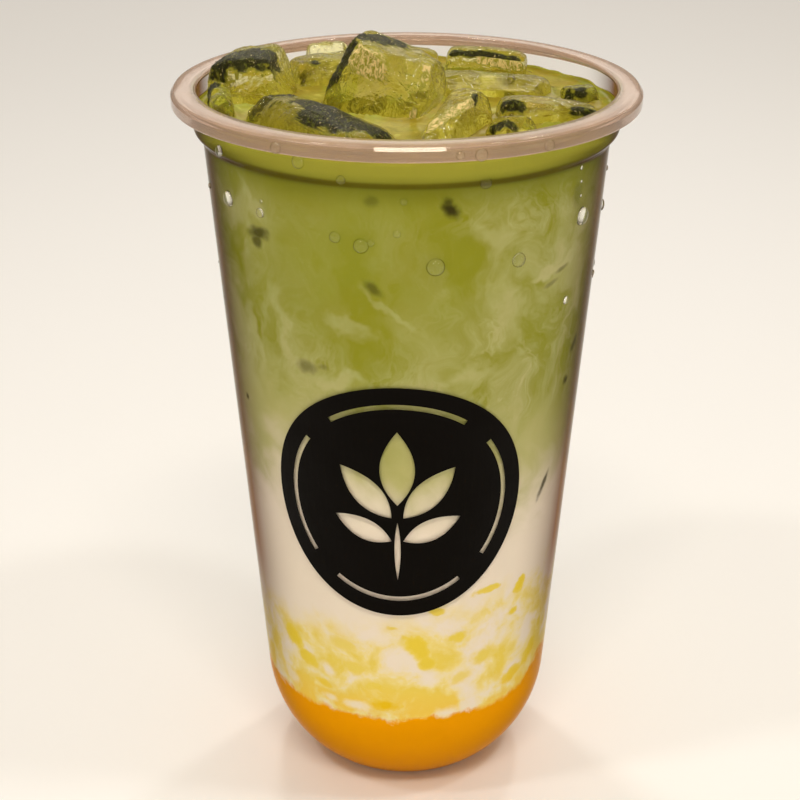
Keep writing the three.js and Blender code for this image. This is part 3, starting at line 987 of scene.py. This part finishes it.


# Crazed ice darkened by painted shade and frosted ice with painted glints, which are the second
# and third of the ice materials: kind, start and end of the patch and its reach, in millimetres
CRAZED_WITH_SHADE, FROSTED_GLINTS = 1, 2
PATCHES = {
    "ice_left_dome": (
        (CRAZED_WITH_SHADE, (-38, 4, 158.6), (-27, 3, 160.2), 4.6),
        (FROSTED_GLINTS, (-36.5, -1, 150.5), (-35.5, -1.2, 154.5), 1.2),
    ),
    "ice_left_sliver": ((CRAZED_WITH_SHADE, (-39.6, -4, 151), (-38.6, -4, 155.5), 1.8),),
    "ice_front_bar": (
        (CRAZED_WITH_SHADE, (-30.5, -10, 152.6), (-23.5, -8, 156), 3.4),
        (CRAZED_WITH_SHADE, (-19.5, -16.5, 155.4), (-13, -24, 154.8), 4),
        (CRAZED_WITH_SHADE, (-13, -24.5, 155), (-5, -31, 152.6), 2.3),
        (CRAZED_WITH_SHADE, (-18.5, -23, 154.4), (-11, -30, 152.6), 3.2),
    ),
    "ice_centre_block": (
        (CRAZED_WITH_SHADE, (-16, -5, 156.5), (-11.5, -4, 163), 2.5),
        (CRAZED_WITH_SHADE, (-9, -1.5, 165.4), (1, 0, 164.4), 2.7),
        (FROSTED_GLINTS, (-10, -7, 162.8), (-6.6, -8.4, 160), 3.1),
        (FROSTED_GLINTS, (4.2, -5.6, 160), (1, -11.4, 151), 0.9),
    ),
    "ice_back_plank": (
        (CRAZED_WITH_SHADE, (10, 25.6, 155.6), (24, 23.8, 155), 1.3),
        (FROSTED_GLINTS, (16, 24.6, 154), (24, 23.4, 152.8), 1.2),
    ),
    "ice_front_clear": (
        (FROSTED_GLINTS, (3.5, -26.5, 152.6), (12.5, -18, 156.2), 1.5),
        (CRAZED_WITH_SHADE, (13.4, -15.5, 156.4), (14.6, -19, 154), 0.9),
    ),
    "ice_right_blade": (
        (CRAZED_WITH_SHADE, (18.5, -13.4, 153.4), (22, -14, 154), 1.5),
        (CRAZED_WITH_SHADE, (33, -11.4, 152.2), (37.5, -10, 151.6), 1.3),
    ),
    "ice_right_chip": ((CRAZED_WITH_SHADE, (33.5, 2.6, 151.6), (35.5, 2.4, 152.4), 2),),
    "ice_front_chip": ((CRAZED_WITH_SHADE, (16.5, -26, 152.6), (20, -27, 153.6), 1.4),),
    "ice_back_left": ((CRAZED_WITH_SHADE, (-19.5, 17.6, 154.8), (-19.3, 17.6, 155), 0.9),),
    "ice_middle_slab": ((FROSTED_GLINTS, (12, 5, 153.4), (22, 4.8, 152.6), 0.7),),
}

# Flat faces melted into the blocks: way out, share of the block's reach that stays
FLATS = {
    "ice_left_dome": (
        ((-0.1, -0.8, 0.6), 0.9),
        ((0.15, -1, 0.1), 0.9),
        ((-0.1, 0.1, 1), 0.95),
        ((1, -0.2, 0.35), 0.9),
    ),
    "ice_front_bar": (
        ((0.1, 0.1, 1), 0.9),
        ((-0.73, -0.68, 0.25), 0.86),
        ((-0.5, -0.46, 0.72), 0.86),
        ((0.6, 0.55, 0.6), 0.86),
        ((-0.68, 0.73, 0.3), 0.93),
    ),
    "ice_centre_block": (
        ((-0.31, -0.95, 0.05), 0.86),
        ((0.3, -0.2, 0.93), 0.92),
        ((-0.75, -0.4, 0.54), 0.86),
        ((0.35, -0.72, 0.6), 0.84),
        ((0.88, -0.29, 0.1), 0.9),
    ),
    "ice_back_left": (
        ((-0.1, -0.9, 0.4), 0.86),
        ((0.1, 0, 1), 0.92),
    ),
    "ice_back_plank": (
        ((-0.14, -0.99, 0.1), 0.86),
        ((0, -0.6, 0.8), 0.9),
    ),
    "ice_middle_slab": (
        ((-0.07, -0.99, 0.15), 0.88),
        ((0, -0.3, 1), 0.88),
        ((0.7, -0.5, 0.5), 0.86),
    ),
    "ice_front_clear": (
        ((-0.93, 0.1, 0.35), 0.84),
        ((0.8, -0.45, 0.5), 0.84),
        ((0, -0.4, 0.9), 0.9),
    ),
    "ice_right_blade": (
        ((0.15, -0.8, 0.6), 0.82),
        ((-0.2, 0.7, 0.7), 0.84),
    ),
    "ice_right_chip": (
        ((-0.5, -0.7, 0.4), 0.84),
        ((0.6, -0.5, 0.5), 0.84),
    ),
    "ice_front_chip": (
        ((-0.6, -0.5, 0.6), 0.84),
        ((0.5, -0.5, 0.7), 0.84),
    ),
    "ice_left_sliver": (((-0.3, -0.8, 0.5), 0.84),),
    "ice_back_chip": (((0, -0.9, 0.3), 0.86),),
    "ice_back_centre": (((0.1, -0.8, 0.6), 0.84),),
}
PRESSED = 0.94
MERGED = 0.01 * MM


def press_flats(node, mesh, middle):
    """Presses what stands out past each flat face onto it."""
    for way, share in FLATS[node]:
        way = Vector(way).normalized()
        out = [(vertex.co - middle).dot(way) for vertex in mesh.vertices]
        limit = max(out) * share
        for vertex, reach in zip(mesh.vertices, out):
            if reach > limit:
                vertex.co -= way * (reach - limit) * PRESSED
    mesh.update()


def segment_distance(spot, start, end):
    """Distance of a spot from the segment between two places."""
    start, end = Vector(start), Vector(end)
    along = end - start
    share = min(1.0, max(0.0, (spot - start).dot(along) / along.length_squared))
    return (spot - start - along * share).length


def patch_kind(node, spot):
    """Kind of ice at a spot in millimetres, and how deep the spot lies in its patch."""
    best, kind = 0.0, 0
    torn = 1.5 * noise.noise(spot * 0.55) + 0.8 * noise.noise(spot * 1.3)
    for made, start, end, reach in PATCHES.get(node, ()):
        depth = 1 - (segment_distance(spot, start, end) + torn * 0.28 * reach) / reach
        if depth > best:
            best, kind = depth, made
    return kind, best


def shape_ice(node, look):
    """A melted block: the CAD form made smooth, dimpled, grooved and crazed."""
    piece = link(node + "_clear", ice_copy(node))
    smooth = piece.modifiers.new("smooth", "SUBSURF")
    smooth.levels = smooth.render_levels = look.levels
    evaluate(piece)
    mesh = piece.data
    low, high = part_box(node)
    for axis in range(3):
        along = [vertex.co[axis] for vertex in mesh.vertices]
        first, stretch = min(along), (high[axis] - low[axis]) / (max(along) - min(along))
        for vertex, place in zip(mesh.vertices, along):
            vertex.co[axis] = low[axis] + (place - first) * stretch
    press_flats(node, mesh, (low + high) / 2)
    seed = Vector((ICE_NODES.index(node) * 3.7, 0.1, 0.2))
    inside = mesh.attributes.new("depth", "FLOAT", "POINT")
    moved = []
    for vertex in mesh.vertices:
        spot = vertex.co / MM
        depth = patch_kind(node, spot)[1]
        inside.data[vertex.index].value = depth
        slow = noise.noise(spot * 0.13 + seed) + 0.6 * noise.noise(spot * 0.29 + seed)
        groove = 1 - abs(noise.noise(spot * 0.42 + seed)) * 3
        fine = noise.turbulence(spot * 1.1 + seed, 3, True)
        rise = look.dimple * (slow - 0.5) + look.groove * max(0.0, groove)
        rise += look.crinkle * (fine - 0.4) * (0.15 + 3.0 * min(1.0, depth * 3))
        moved.append(vertex.co + vertex.normal * rise)
    for vertex, place in zip(mesh.vertices, moved):
        vertex.co = place
    mesh.update()
    return piece


class LATTE_OT_ice(bpy.types.Operator):
    """Melt the blocks of ice that float in the matcha"""

    bl_idname = "latte.ice"
    bl_label = "Ice"

    def execute(self, context):
        materials = ice_materials()
        for node in ICE_NODES:
            piece = shape_ice(node, context.scene.latte_ice)
            coat(piece, materials)
            for face in piece.data.polygons:
                face.material_index = patch_kind(node, face.center / MM)[0]
            hand_in(piece, "ice", node)
        return {"FINISHED"}


def ice_hollows(inset):
    """One mesh of all the ice, a little smaller, to cut out of the drink."""
    work = bmesh.new()
    for node in ICE_NODES:
        source = bpy.data.objects[node + "_clear"].data
        first = len(work.verts)
        work.from_mesh(source)
        work.verts.ensure_lookup_table()
        for index, vertex in enumerate(source.vertices):
            work.verts[first + index].co = vertex.co - vertex.normal * inset
    mesh = bpy.data.meshes.new("ice_hollows")
    work.to_mesh(mesh)
    work.free()
    return mesh


# Share of the wall's thickness that the drink reaches into it
INTO_WALL = 0.6
WALL_STEPS = 32
SURFACE_STEPS = 58
RIPPLE = 0.12 * MM
CLIMB = 0.8 * MM
NEAR = 5 * MM
# Gaps inside the wall: the film's top edge, its inner edge and the open surface
FILM_TOP, FILM_EDGE, SURFACE_GAP = 0.1 * MM, 0.2 * MM, 0.25 * MM
FILM_ROUND = 0.15 * MM
RAISED_GAP = 0.22 * MM
BELOW_SURFACE = 0.1 * MM
TOP_FACES_GAP = 0.4 * MM
TOP_FACES_FROM = 100 * MM


def film_height(look, turn):
    """Height of the wet film over the surface: even in front, torn at the back."""
    spot = Vector((math.cos(turn), math.sin(turn), 0))
    torn = noise.noise(spot * 5) + 0.4 * noise.noise(spot * 13)
    behind = blend(-0.3, 0.5, math.sin(turn))
    return look.film * (1 - 0.6 * behind) + 0.7 * MM * behind * torn


def drink_column(cup, look, turn, floor_level):
    """Points of the drink's section at a turn, from the floor to the surface."""
    inset = cup.wall * INTO_WALL
    rim = LIQUID_LEVEL + look.meniscus
    points = [(0, floor_level)]
    points += [(r, floor_level) for r in (4 * MM, 9 * MM, cup.foot_inner - cup.floor)]
    points += corner_points(cup, inset, cup.floor * 0.7)
    shoulder = cup.neck_foot - cup.shoulder_drop
    start = points[-1][1]
    for step in range(1, WALL_STEPS + 1):
        height = start + (shoulder - start) * step / WALL_STEPS
        points.append((wall_radius(cup, height, inset), height))
    for height in (cup.neck_foot - cup.shoulder_drop / 2, cup.neck_foot):
        points.append((wall_radius(cup, height, inset), height))
    film = LIQUID_LEVEL + film_height(look, turn)
    side = wall_radius(cup, film, inset)
    points += [(side, LIQUID_LEVEL - 1.5 * MM), (side, LIQUID_LEVEL), (side, film)]
    edge = wall_radius(cup, rim, cup.wall)
    points += [(edge - FILM_TOP, film), (edge - FILM_EDGE, film - FILM_ROUND)]
    edge -= SURFACE_GAP
    for step in range(SURFACE_STEPS):
        points.append((edge * (1 - step / SURFACE_STEPS), LIQUID_LEVEL))
    points.append((0, LIQUID_LEVEL))
    return points


def raise_surface(mesh, cup, look):
    """Lifts the open surface where it meets the wall and the ice."""
    trees = []
    for node in ICE_NODES:
        source = bpy.data.objects[node + "_clear"]
        trees.append(BVHTree.FromObject(source, bpy.context.evaluated_depsgraph_get()))
    edge = wall_radius(cup, LIQUID_LEVEL, cup.wall)
    for vertex in mesh.vertices:
        radius = vertex.co.xy.length
        if vertex.co.z < LIQUID_LEVEL - BELOW_SURFACE or radius > edge - RAISED_GAP:
            continue
        nearest = edge - radius
        for tree in trees:
            found = tree.find_nearest(vertex.co, NEAR)
            if found[0] is not None:
                nearest = min(nearest, found[3])
        ripple = RIPPLE * noise.noise(vertex.co / MM * 0.12)
        vertex.co.z = LIQUID_LEVEL + ripple + look.meniscus * math.exp(-nearest / CLIMB)


class LATTE_OT_drink(bpy.types.Operator):
    """Pour the layered drink up to just inside the wall, round the ice"""

    bl_idname = "latte.drink"
    bl_label = "Drink"

    def execute(self, context):
        cup, look = context.scene.latte_cup, context.scene.latte_drink
        if "ice_centre_block_clear" not in bpy.data.objects:
            raise RuntimeError("make the ice before the drink")
        floor_level = cup.foot_recess + cup.floor * INTO_WALL
        columns = []
        for turn in full_turn(cup.around):
            columns.append(turned(drink_column(cup, look, turn, floor_level), turn))
        piece = link("drink", grid_mesh("drink", columns))
        raise_surface(piece.data, cup, look)
        coat(piece, drink_materials())
        cutter = link("ice_hollows", ice_hollows(context.scene.latte_ice.inset))
        cut = piece.modifiers.new("hollows", "BOOLEAN")
        cut.object, cut.operation, cut.solver = cutter, "DIFFERENCE", "MANIFOLD"
        evaluate(piece)
        bpy.data.objects.remove(cutter)
        for face in piece.data.polygons:
            reach = wall_radius(cup, face.center.z, cup.wall) - TOP_FACES_GAP
            inner = face.center.xy.length < reach and face.center.z > TOP_FACES_FROM
            face.material_index = 1 if inner else 0
        smooth_faces(piece.data)
        hand_in(piece, "matcha", *LAYER_NODES)
        return {"FINISHED"}


# Badge outline


ARC_TURNS = (0, 90, 180, 270)
ARC_HALF = 36
# Leaves and stem of the sprig: place of the stalk, turn in degrees, length and width in mm
LEAVES = (
    (0, 0, 90, 17, 7),
    (1.2, -3, 48, 15.5, 6),
    (1.2, -8.5, 24, 13, 5),
    (-1.2, -3, 132, 15.5, 6),
    (-1.2, -8.5, 156, 13, 5),
    (0, -4, -90, 14, 1.3),
)
LEAF_BELLY = 0.45
EDGE_STEPS = 144
CUT_ACROSS = 1.5 * MM
CUT_ALONG = 6 * MM
OUTLINE_MERGED = 0.001 * MM
INK_GAP = 0.02 * MM


def out_and_back(steps, made):
    """Side and share of the way for each point of an outline that goes out and returns."""
    for side in (1, -1):
        for step in range(made):
            yield side, step / steps if side > 0 else 1 - step / steps


def leaf_outline(x, y, turn_degrees, length, width, steps=20):
    """A leaf from its stalk to its tip and back, from millimetres."""
    angle = math.radians(turn_degrees)
    x, y, length, width = x * MM, y * MM, length * MM, width * MM
    points = []
    for side, share in out_and_back(steps, steps):
        along = 2 * (1 - share) * share * LEAF_BELLY * length + share * share * length
        across = 2 * (1 - share) * share * width * side
        right = x + along * math.cos(angle) - across * math.sin(angle)
        points.append((right, y + along * math.sin(angle) + across * math.cos(angle)))
    return points


def arc_outline(look, centre_degrees, half_degrees, steps=40):
    """One arc of the broken ring."""
    points = []
    for side, share in out_and_back(steps, steps + 1):
        radius = look.ring_radius + side * look.ring_width / 2
        angle = math.radians(centre_degrees + half_degrees * (2 * share - 1))
        points.append((radius * math.cos(angle), radius * math.sin(angle)))
    return points


def badge_outlines(look):
    """The badge's edge, then its clear shapes: four arcs and a sprig of leaves."""
    edge = [turned([(look.radius, 0)], turn)[0][:2] for turn in full_turn(EDGE_STEPS)]
    outlines = [edge]
    outlines += [arc_outline(look, turn, ARC_HALF) for turn in ARC_TURNS]
    outlines += [leaf_outline(*leaf) for leaf in LEAVES]
    return outlines


class LATTE_OT_badge(bpy.types.Operator):
    """Print the round badge with a broken ring and a sprig of leaves"""

    bl_idname = "latte.badge"
    bl_label = "Badge"

    def execute(self, context):
        look, cup = context.scene.latte_badge, context.scene.latte_cup
        curve = bpy.data.curves.new("badge_outline", "CURVE")
        curve.dimensions, curve.fill_mode = "2D", "BOTH"
        for outline in badge_outlines(look):
            spline = curve.splines.new("POLY")
            spline.points.add(len(outline) - 1)
            for point, (x, y) in zip(spline.points, outline):
                point.co = (x, y, 0, 1)
            spline.use_cyclic_u = True
        flat = bpy.data.objects.new("badge_flat", curve)
        context.scene.collection.objects.link(flat)
        mesh = applied(flat)
        bpy.data.objects.remove(flat)
        work = bmesh.new()
        work.from_mesh(mesh)
        bmesh.ops.remove_doubles(work, verts=work.verts, dist=OUTLINE_MERGED)
        reach = look.radius
        # The cuts let the flat badge bend round the wall.
        for axis, pitch in (((1, 0, 0), CUT_ACROSS), ((0, 1, 0), CUT_ALONG)):
            place = -reach + pitch
            while place < reach:
                geometry = work.verts[:] + work.edges[:] + work.faces[:]
                spot = Vector(axis) * place
                bmesh.ops.bisect_plane(work, geom=geometry, plane_co=spot, plane_no=axis)
                place += pitch
        bmesh.ops.recalc_face_normals(work, faces=work.faces)
        if sum(face.normal.z for face in work.faces) < 0:
            bmesh.ops.reverse_faces(work, faces=work.faces)
        middle = wall_radius(cup, look.height, 0)
        for vertex in work.verts:
            x, y, _ = vertex.co
            height = look.height + y
            radius = wall_radius(cup, height, 0) + look.thickness + INK_GAP
            turn = x / middle + look.turn
            vertex.co = (radius * math.sin(turn), -radius * math.cos(turn), height)
        work.to_mesh(mesh)
        work.free()
        piece = link("badge_ink", mesh, smooth=False)
        thick = piece.modifiers.new("thick", "SOLIDIFY")
        thick.thickness, thick.offset = look.thickness, -1
        evaluate(piece)
        coat(piece, [ink_material()])
        hand_in(piece, "print_ink", "print_badge")
        return {"FINISHED"}


# Drops

# Drops in front: turn, height, radius
DROPS = (
    (-55.8, 147.8, 1.2),
    (-27.6, 149.8, 1.3),
    (-16.3, 147.3, 0.9),
    (19.8, 146.3, 1.2),
    (-0.9, 143.1, 0.7),
    (-43.4, 137.2, 1),
    (-19.4, 135.3, 1.15),
    (-12.3, 134, 1.5),
    (-9.6, 134.7, 0.7),
    (-2.7, 136.7, 0.75),
    (7.6, 129.9, 1.8),
    (31.9, 129.3, 1.5),
    (57.2, 134.1, 1.9),
    (53.5, 117, 0.9),
    (54, 144.5, 0.5),
    (54.8, 141.6, 0.35),
    (55.4, 138.6, 0.3),
    (-42.6, 139.6, 0.4),
    (-58, 137.5, 1.6),
    (-30.2, 153.2, 1.1),
    (11.4, 153.4, 0.8),
    (16.2, 153.2, 1.2),
    (33, 153.3, 1.1),
)


DROP_STEPS = 20
DROP_ROWS = 8
DROP_BULGE = 0.8
DROP_SHARP = math.radians(40)
DROP_SINK = 0.03 * MM


def drop_mesh(flatness):
    """A low drop of unit radius that bulges along Z."""
    section = [(0, 0)]
    for row in range(DROP_ROWS, 0, -1):
        angle = row / DROP_ROWS * math.pi / 2
        section.append((math.sin(angle), flatness * math.cos(angle) ** DROP_BULGE))
    section.append((0, flatness))
    return grid_mesh("drop", [turned(section, turn) for turn in full_turn(DROP_STEPS)])


def drop_places(cup, look):
    """Place, way out and radius of every drop."""
    draw = random.Random(look.seed)
    beads = list(DROPS)
    for _ in range(look.strays):
        turn = draw.uniform(75, 285)
        beads.append((turn, draw.uniform(92, 146), draw.choice((0.4, 0.6, 0.6, 0.9, 1.3))))
    made = []
    for turn_degrees, height, radius in beads:
        turn = math.radians(turn_degrees)
        z = height * MM
        lean = 0 if z > cup.neck_foot else cup.taper
        side = CUP_HIGH.x if z > CUP_HIGH.z - cup.rim_drop else wall_radius(cup, z, 0)
        around = Vector((math.sin(turn), -math.cos(turn), 0))
        out = around * math.cos(lean) - Vector((0, 0, math.sin(lean)))
        place = around * (side - DROP_SINK) + Vector((0, 0, z))
        made.append((place, out, radius * MM))
    return made


def drops_tree(pattern, material):
    """Geometry nodes that set a drop on every point, turned out and scaled."""
    tree = bpy.data.node_groups.new("drops", "GeometryNodeTree")
    for label, way, kind in (
        ("Geometry", "INPUT", "Geometry"),
        ("Scale", "INPUT", "Float"),
        ("Geometry", "OUTPUT", "Geometry"),
    ):
        tree.interface.new_socket(label, in_out=way, socket_type=f"NodeSocket{kind}")
    kit = Tree(tree)
    entry = tree.nodes.new("NodeGroupInput").outputs
    out = kit.add("GeometryNodeInputNamedAttribute", {"Name": "out"}, data_type="FLOAT_VECTOR")
    radius = kit.add("GeometryNodeInputNamedAttribute", {"Name": "reach"}, data_type="FLOAT")
    sized = kit.add("ShaderNodeMath", {0: radius, 1: entry["Scale"]}, operation="MULTIPLY")
    aligned = kit.add("FunctionNodeAlignRotationToVector", {"Vector": out}, axis="Z")
    drop = kit.add("GeometryNodeObjectInfo", {"Object": pattern}, output="Geometry")
    points = kit.add("GeometryNodeMeshToPoints", {"Mesh": entry["Geometry"]})
    inputs = {"Points": points, "Instance": drop, "Rotation": aligned, "Scale": sized}
    placed = kit.add("GeometryNodeInstanceOnPoints", inputs)
    real = kit.add("GeometryNodeRealizeInstances", {"Geometry": placed})
    painted = kit.add("GeometryNodeSetMaterial", {"Geometry": real, "Material": material})
    leave = tree.nodes.new("NodeGroupOutput")
    tree.links.new(painted, leave.inputs[0])
    return tree


class LATTE_OT_drops(bpy.types.Operator):
    """Set water drops on the outside of the wall"""

    bl_idname = "latte.drops"
    bl_label = "Drops"

    def execute(self, context):
        cup, look = context.scene.latte_cup, context.scene.latte_drops
        places = drop_places(cup, look)
        mesh = bpy.data.meshes.new("water_drops")
        mesh.from_pydata([place for place, _, _ in places], [], [])
        out = mesh.attributes.new("out", "FLOAT_VECTOR", "POINT")
        out.data.foreach_set("vector", [part for _, way, _ in places for part in way])
        radius = mesh.attributes.new("reach", "FLOAT", "POINT")
        radius.data.foreach_set("value", [reach for _, _, reach in places])
        piece = link("water_drops", mesh)
        pattern = link("drop_pattern", drop_mesh(look.flatness))
        tree = drops_tree(pattern, water_material())
        grown = piece.modifiers.new("drops", "NODES")
        grown.node_group = tree
        socket = next(item for item in tree.interface.items_tree if item.name == "Scale")
        grown[socket.identifier] = 1.0
        evaluate(piece)
        bpy.data.objects.remove(pattern)
        smooth_faces(piece.data)
        piece.data.set_sharp_from_angle(angle=DROP_SHARP)
        hand_in(piece, "ice")
        return {"FINISHED"}


# Stage


FLOOR_REACH = 3.0
SENSOR = 36.0
NEAR_CLIP = 0.01
MIDDLE, LOW, BEHIND = (0, 0, 0.09), (0, 0, 0.02), (0, 0.25, 0)
SPARKS = ((-0.34, -0.2), (0.3, -0.12), (-0.1, 0.3), (0.22, 0.42))
GLINTS = ((-0.4, 0.3), (-0.12, 0.5), (0.16, 0.34), (0.42, 0.48))
# Lamps: name, place, target, width, height, setting and share of the power, setting of the colour
LAMPS = (
    ("window", (0.02, -0.5, 0.86), MIDDLE, 0.4, 0.11, "key", 1.0, "light"),
    ("fill", (0.1, -0.9, 0.14), LOW, 0.8, 0.12, "key", 0.1, "light"),
    ("backlight", (0, 1.15, 0.75), BEHIND, 1.8, 0.7, "back", 1.0, "sky"),
    *(("spark", (x, y, 0.7), MIDDLE, 0.06, 0.06, "glint", 1.0, "sky") for x, y in SPARKS),
    *(("glint", (x, -0.9, z), MIDDLE, 0.07, 0.05, "glint", 0.25, "sky") for x, z in GLINTS),
)


def area_light(name, place, target, width, height, power, colour):
    light = bpy.data.lights.new(name, "AREA")
    light.shape, light.size, light.size_y = "RECTANGLE", width, height
    light.energy, light.color = power, colour
    lamp = bpy.data.objects.new(name, light)
    lamp.location = place
    away = Vector(place) - Vector(target)
    lamp.rotation_euler = away.to_track_quat("Z", "Y").to_euler()
    bpy.context.scene.collection.objects.link(lamp)


class LATTE_OT_stage(bpy.types.Operator):
    """Set the floor, the soft light and the camera"""

    bl_idname = "latte.stage"
    bl_label = "Stage"

    def execute(self, context):
        look, scene = context.scene.latte_stage, context.scene
        mesh = bpy.data.meshes.new("floor")
        corners = ((-1, -1), (1, -1), (1, 1), (-1, 1))
        points = [(x * FLOOR_REACH, y * FLOOR_REACH, 0) for x, y in corners]
        mesh.from_pydata(points, [], [(0, 1, 2, 3)])
        floor = link("floor", mesh, smooth=False)
        material, tree, output = new_material("floor")
        solid_surface(tree, output, {"Base Color": look.floor, "Roughness": 0.8})
        mesh.materials.append(material)

        world = bpy.data.worlds.new("studio")
        world.use_nodes = True
        background = world.node_tree.nodes["Background"]
        background.inputs["Color"].default_value = (*look.light, 1.0)
        background.inputs["Strength"].default_value = look.ambient
        scene.world = world
        scene.view_settings.view_transform = "Standard"
        for name, place, target, width, height, power, share, colour in LAMPS:
            watts = getattr(look, power) * share
            area_light(name, place, target, width, height, watts, getattr(look, colour))

        camera = bpy.data.cameras.new("camera")
        camera.lens, camera.sensor_width = look.lens, SENSOR
        camera.clip_start = NEAR_CLIP
        shown = bpy.data.objects.new("camera", camera)
        place = Matrix.Translation((-look.aside, -look.distance, look.height))
        shown.matrix_world = place @ Matrix.Rotation(math.pi / 2 - look.pitch, 4, "X")
        scene.collection.objects.link(shown)
        scene.camera = shown
        return {"FINISHED"}


class LATTE_PT_panel(bpy.types.Panel):
    """Steps that build the drink"""

    bl_label = "Iced Matcha Latte"
    bl_idname = "LATTE_PT_panel"
    bl_space_type = "VIEW_3D"
    bl_region_type = "UI"
    bl_category = "Latte"

    def draw(self, context):
        for step in STEPS:
            self.layout.operator(step.bl_idname)


STEPS = (
    LATTE_OT_stage,
    LATTE_OT_cup,
    LATTE_OT_ice,
    LATTE_OT_drink,
    LATTE_OT_badge,
    LATTE_OT_drops,
)
SETTINGS = {
    "latte_cup": LatteCupSettings,
    "latte_drink": LatteDrinkSettings,
    "latte_ice": LatteIceSettings,
    "latte_badge": LatteBadgeSettings,
    "latte_drops": LatteDropSettings,
    "latte_stage": LatteStageSettings,
}


def register():
    for cls in (*SETTINGS.values(), *STEPS, LATTE_PT_panel):
        bpy.utils.register_class(cls)
    for name, cls in SETTINGS.items():
        setattr(bpy.types.Scene, name, PointerProperty(type=cls))


def unregister():
    for name in SETTINGS:
        delattr(bpy.types.Scene, name)
    for cls in (*SETTINGS.values(), *STEPS, LATTE_PT_panel):
        bpy.utils.unregister_class(cls)


def main():
    register()
    bpy.ops.latte.stage()
    bpy.ops.latte.cup()
    bpy.ops.latte.ice()
    bpy.ops.latte.drink()
    bpy.ops.latte.badge()
    bpy.ops.latte.drops()


if __name__ == "__main__":
    main()
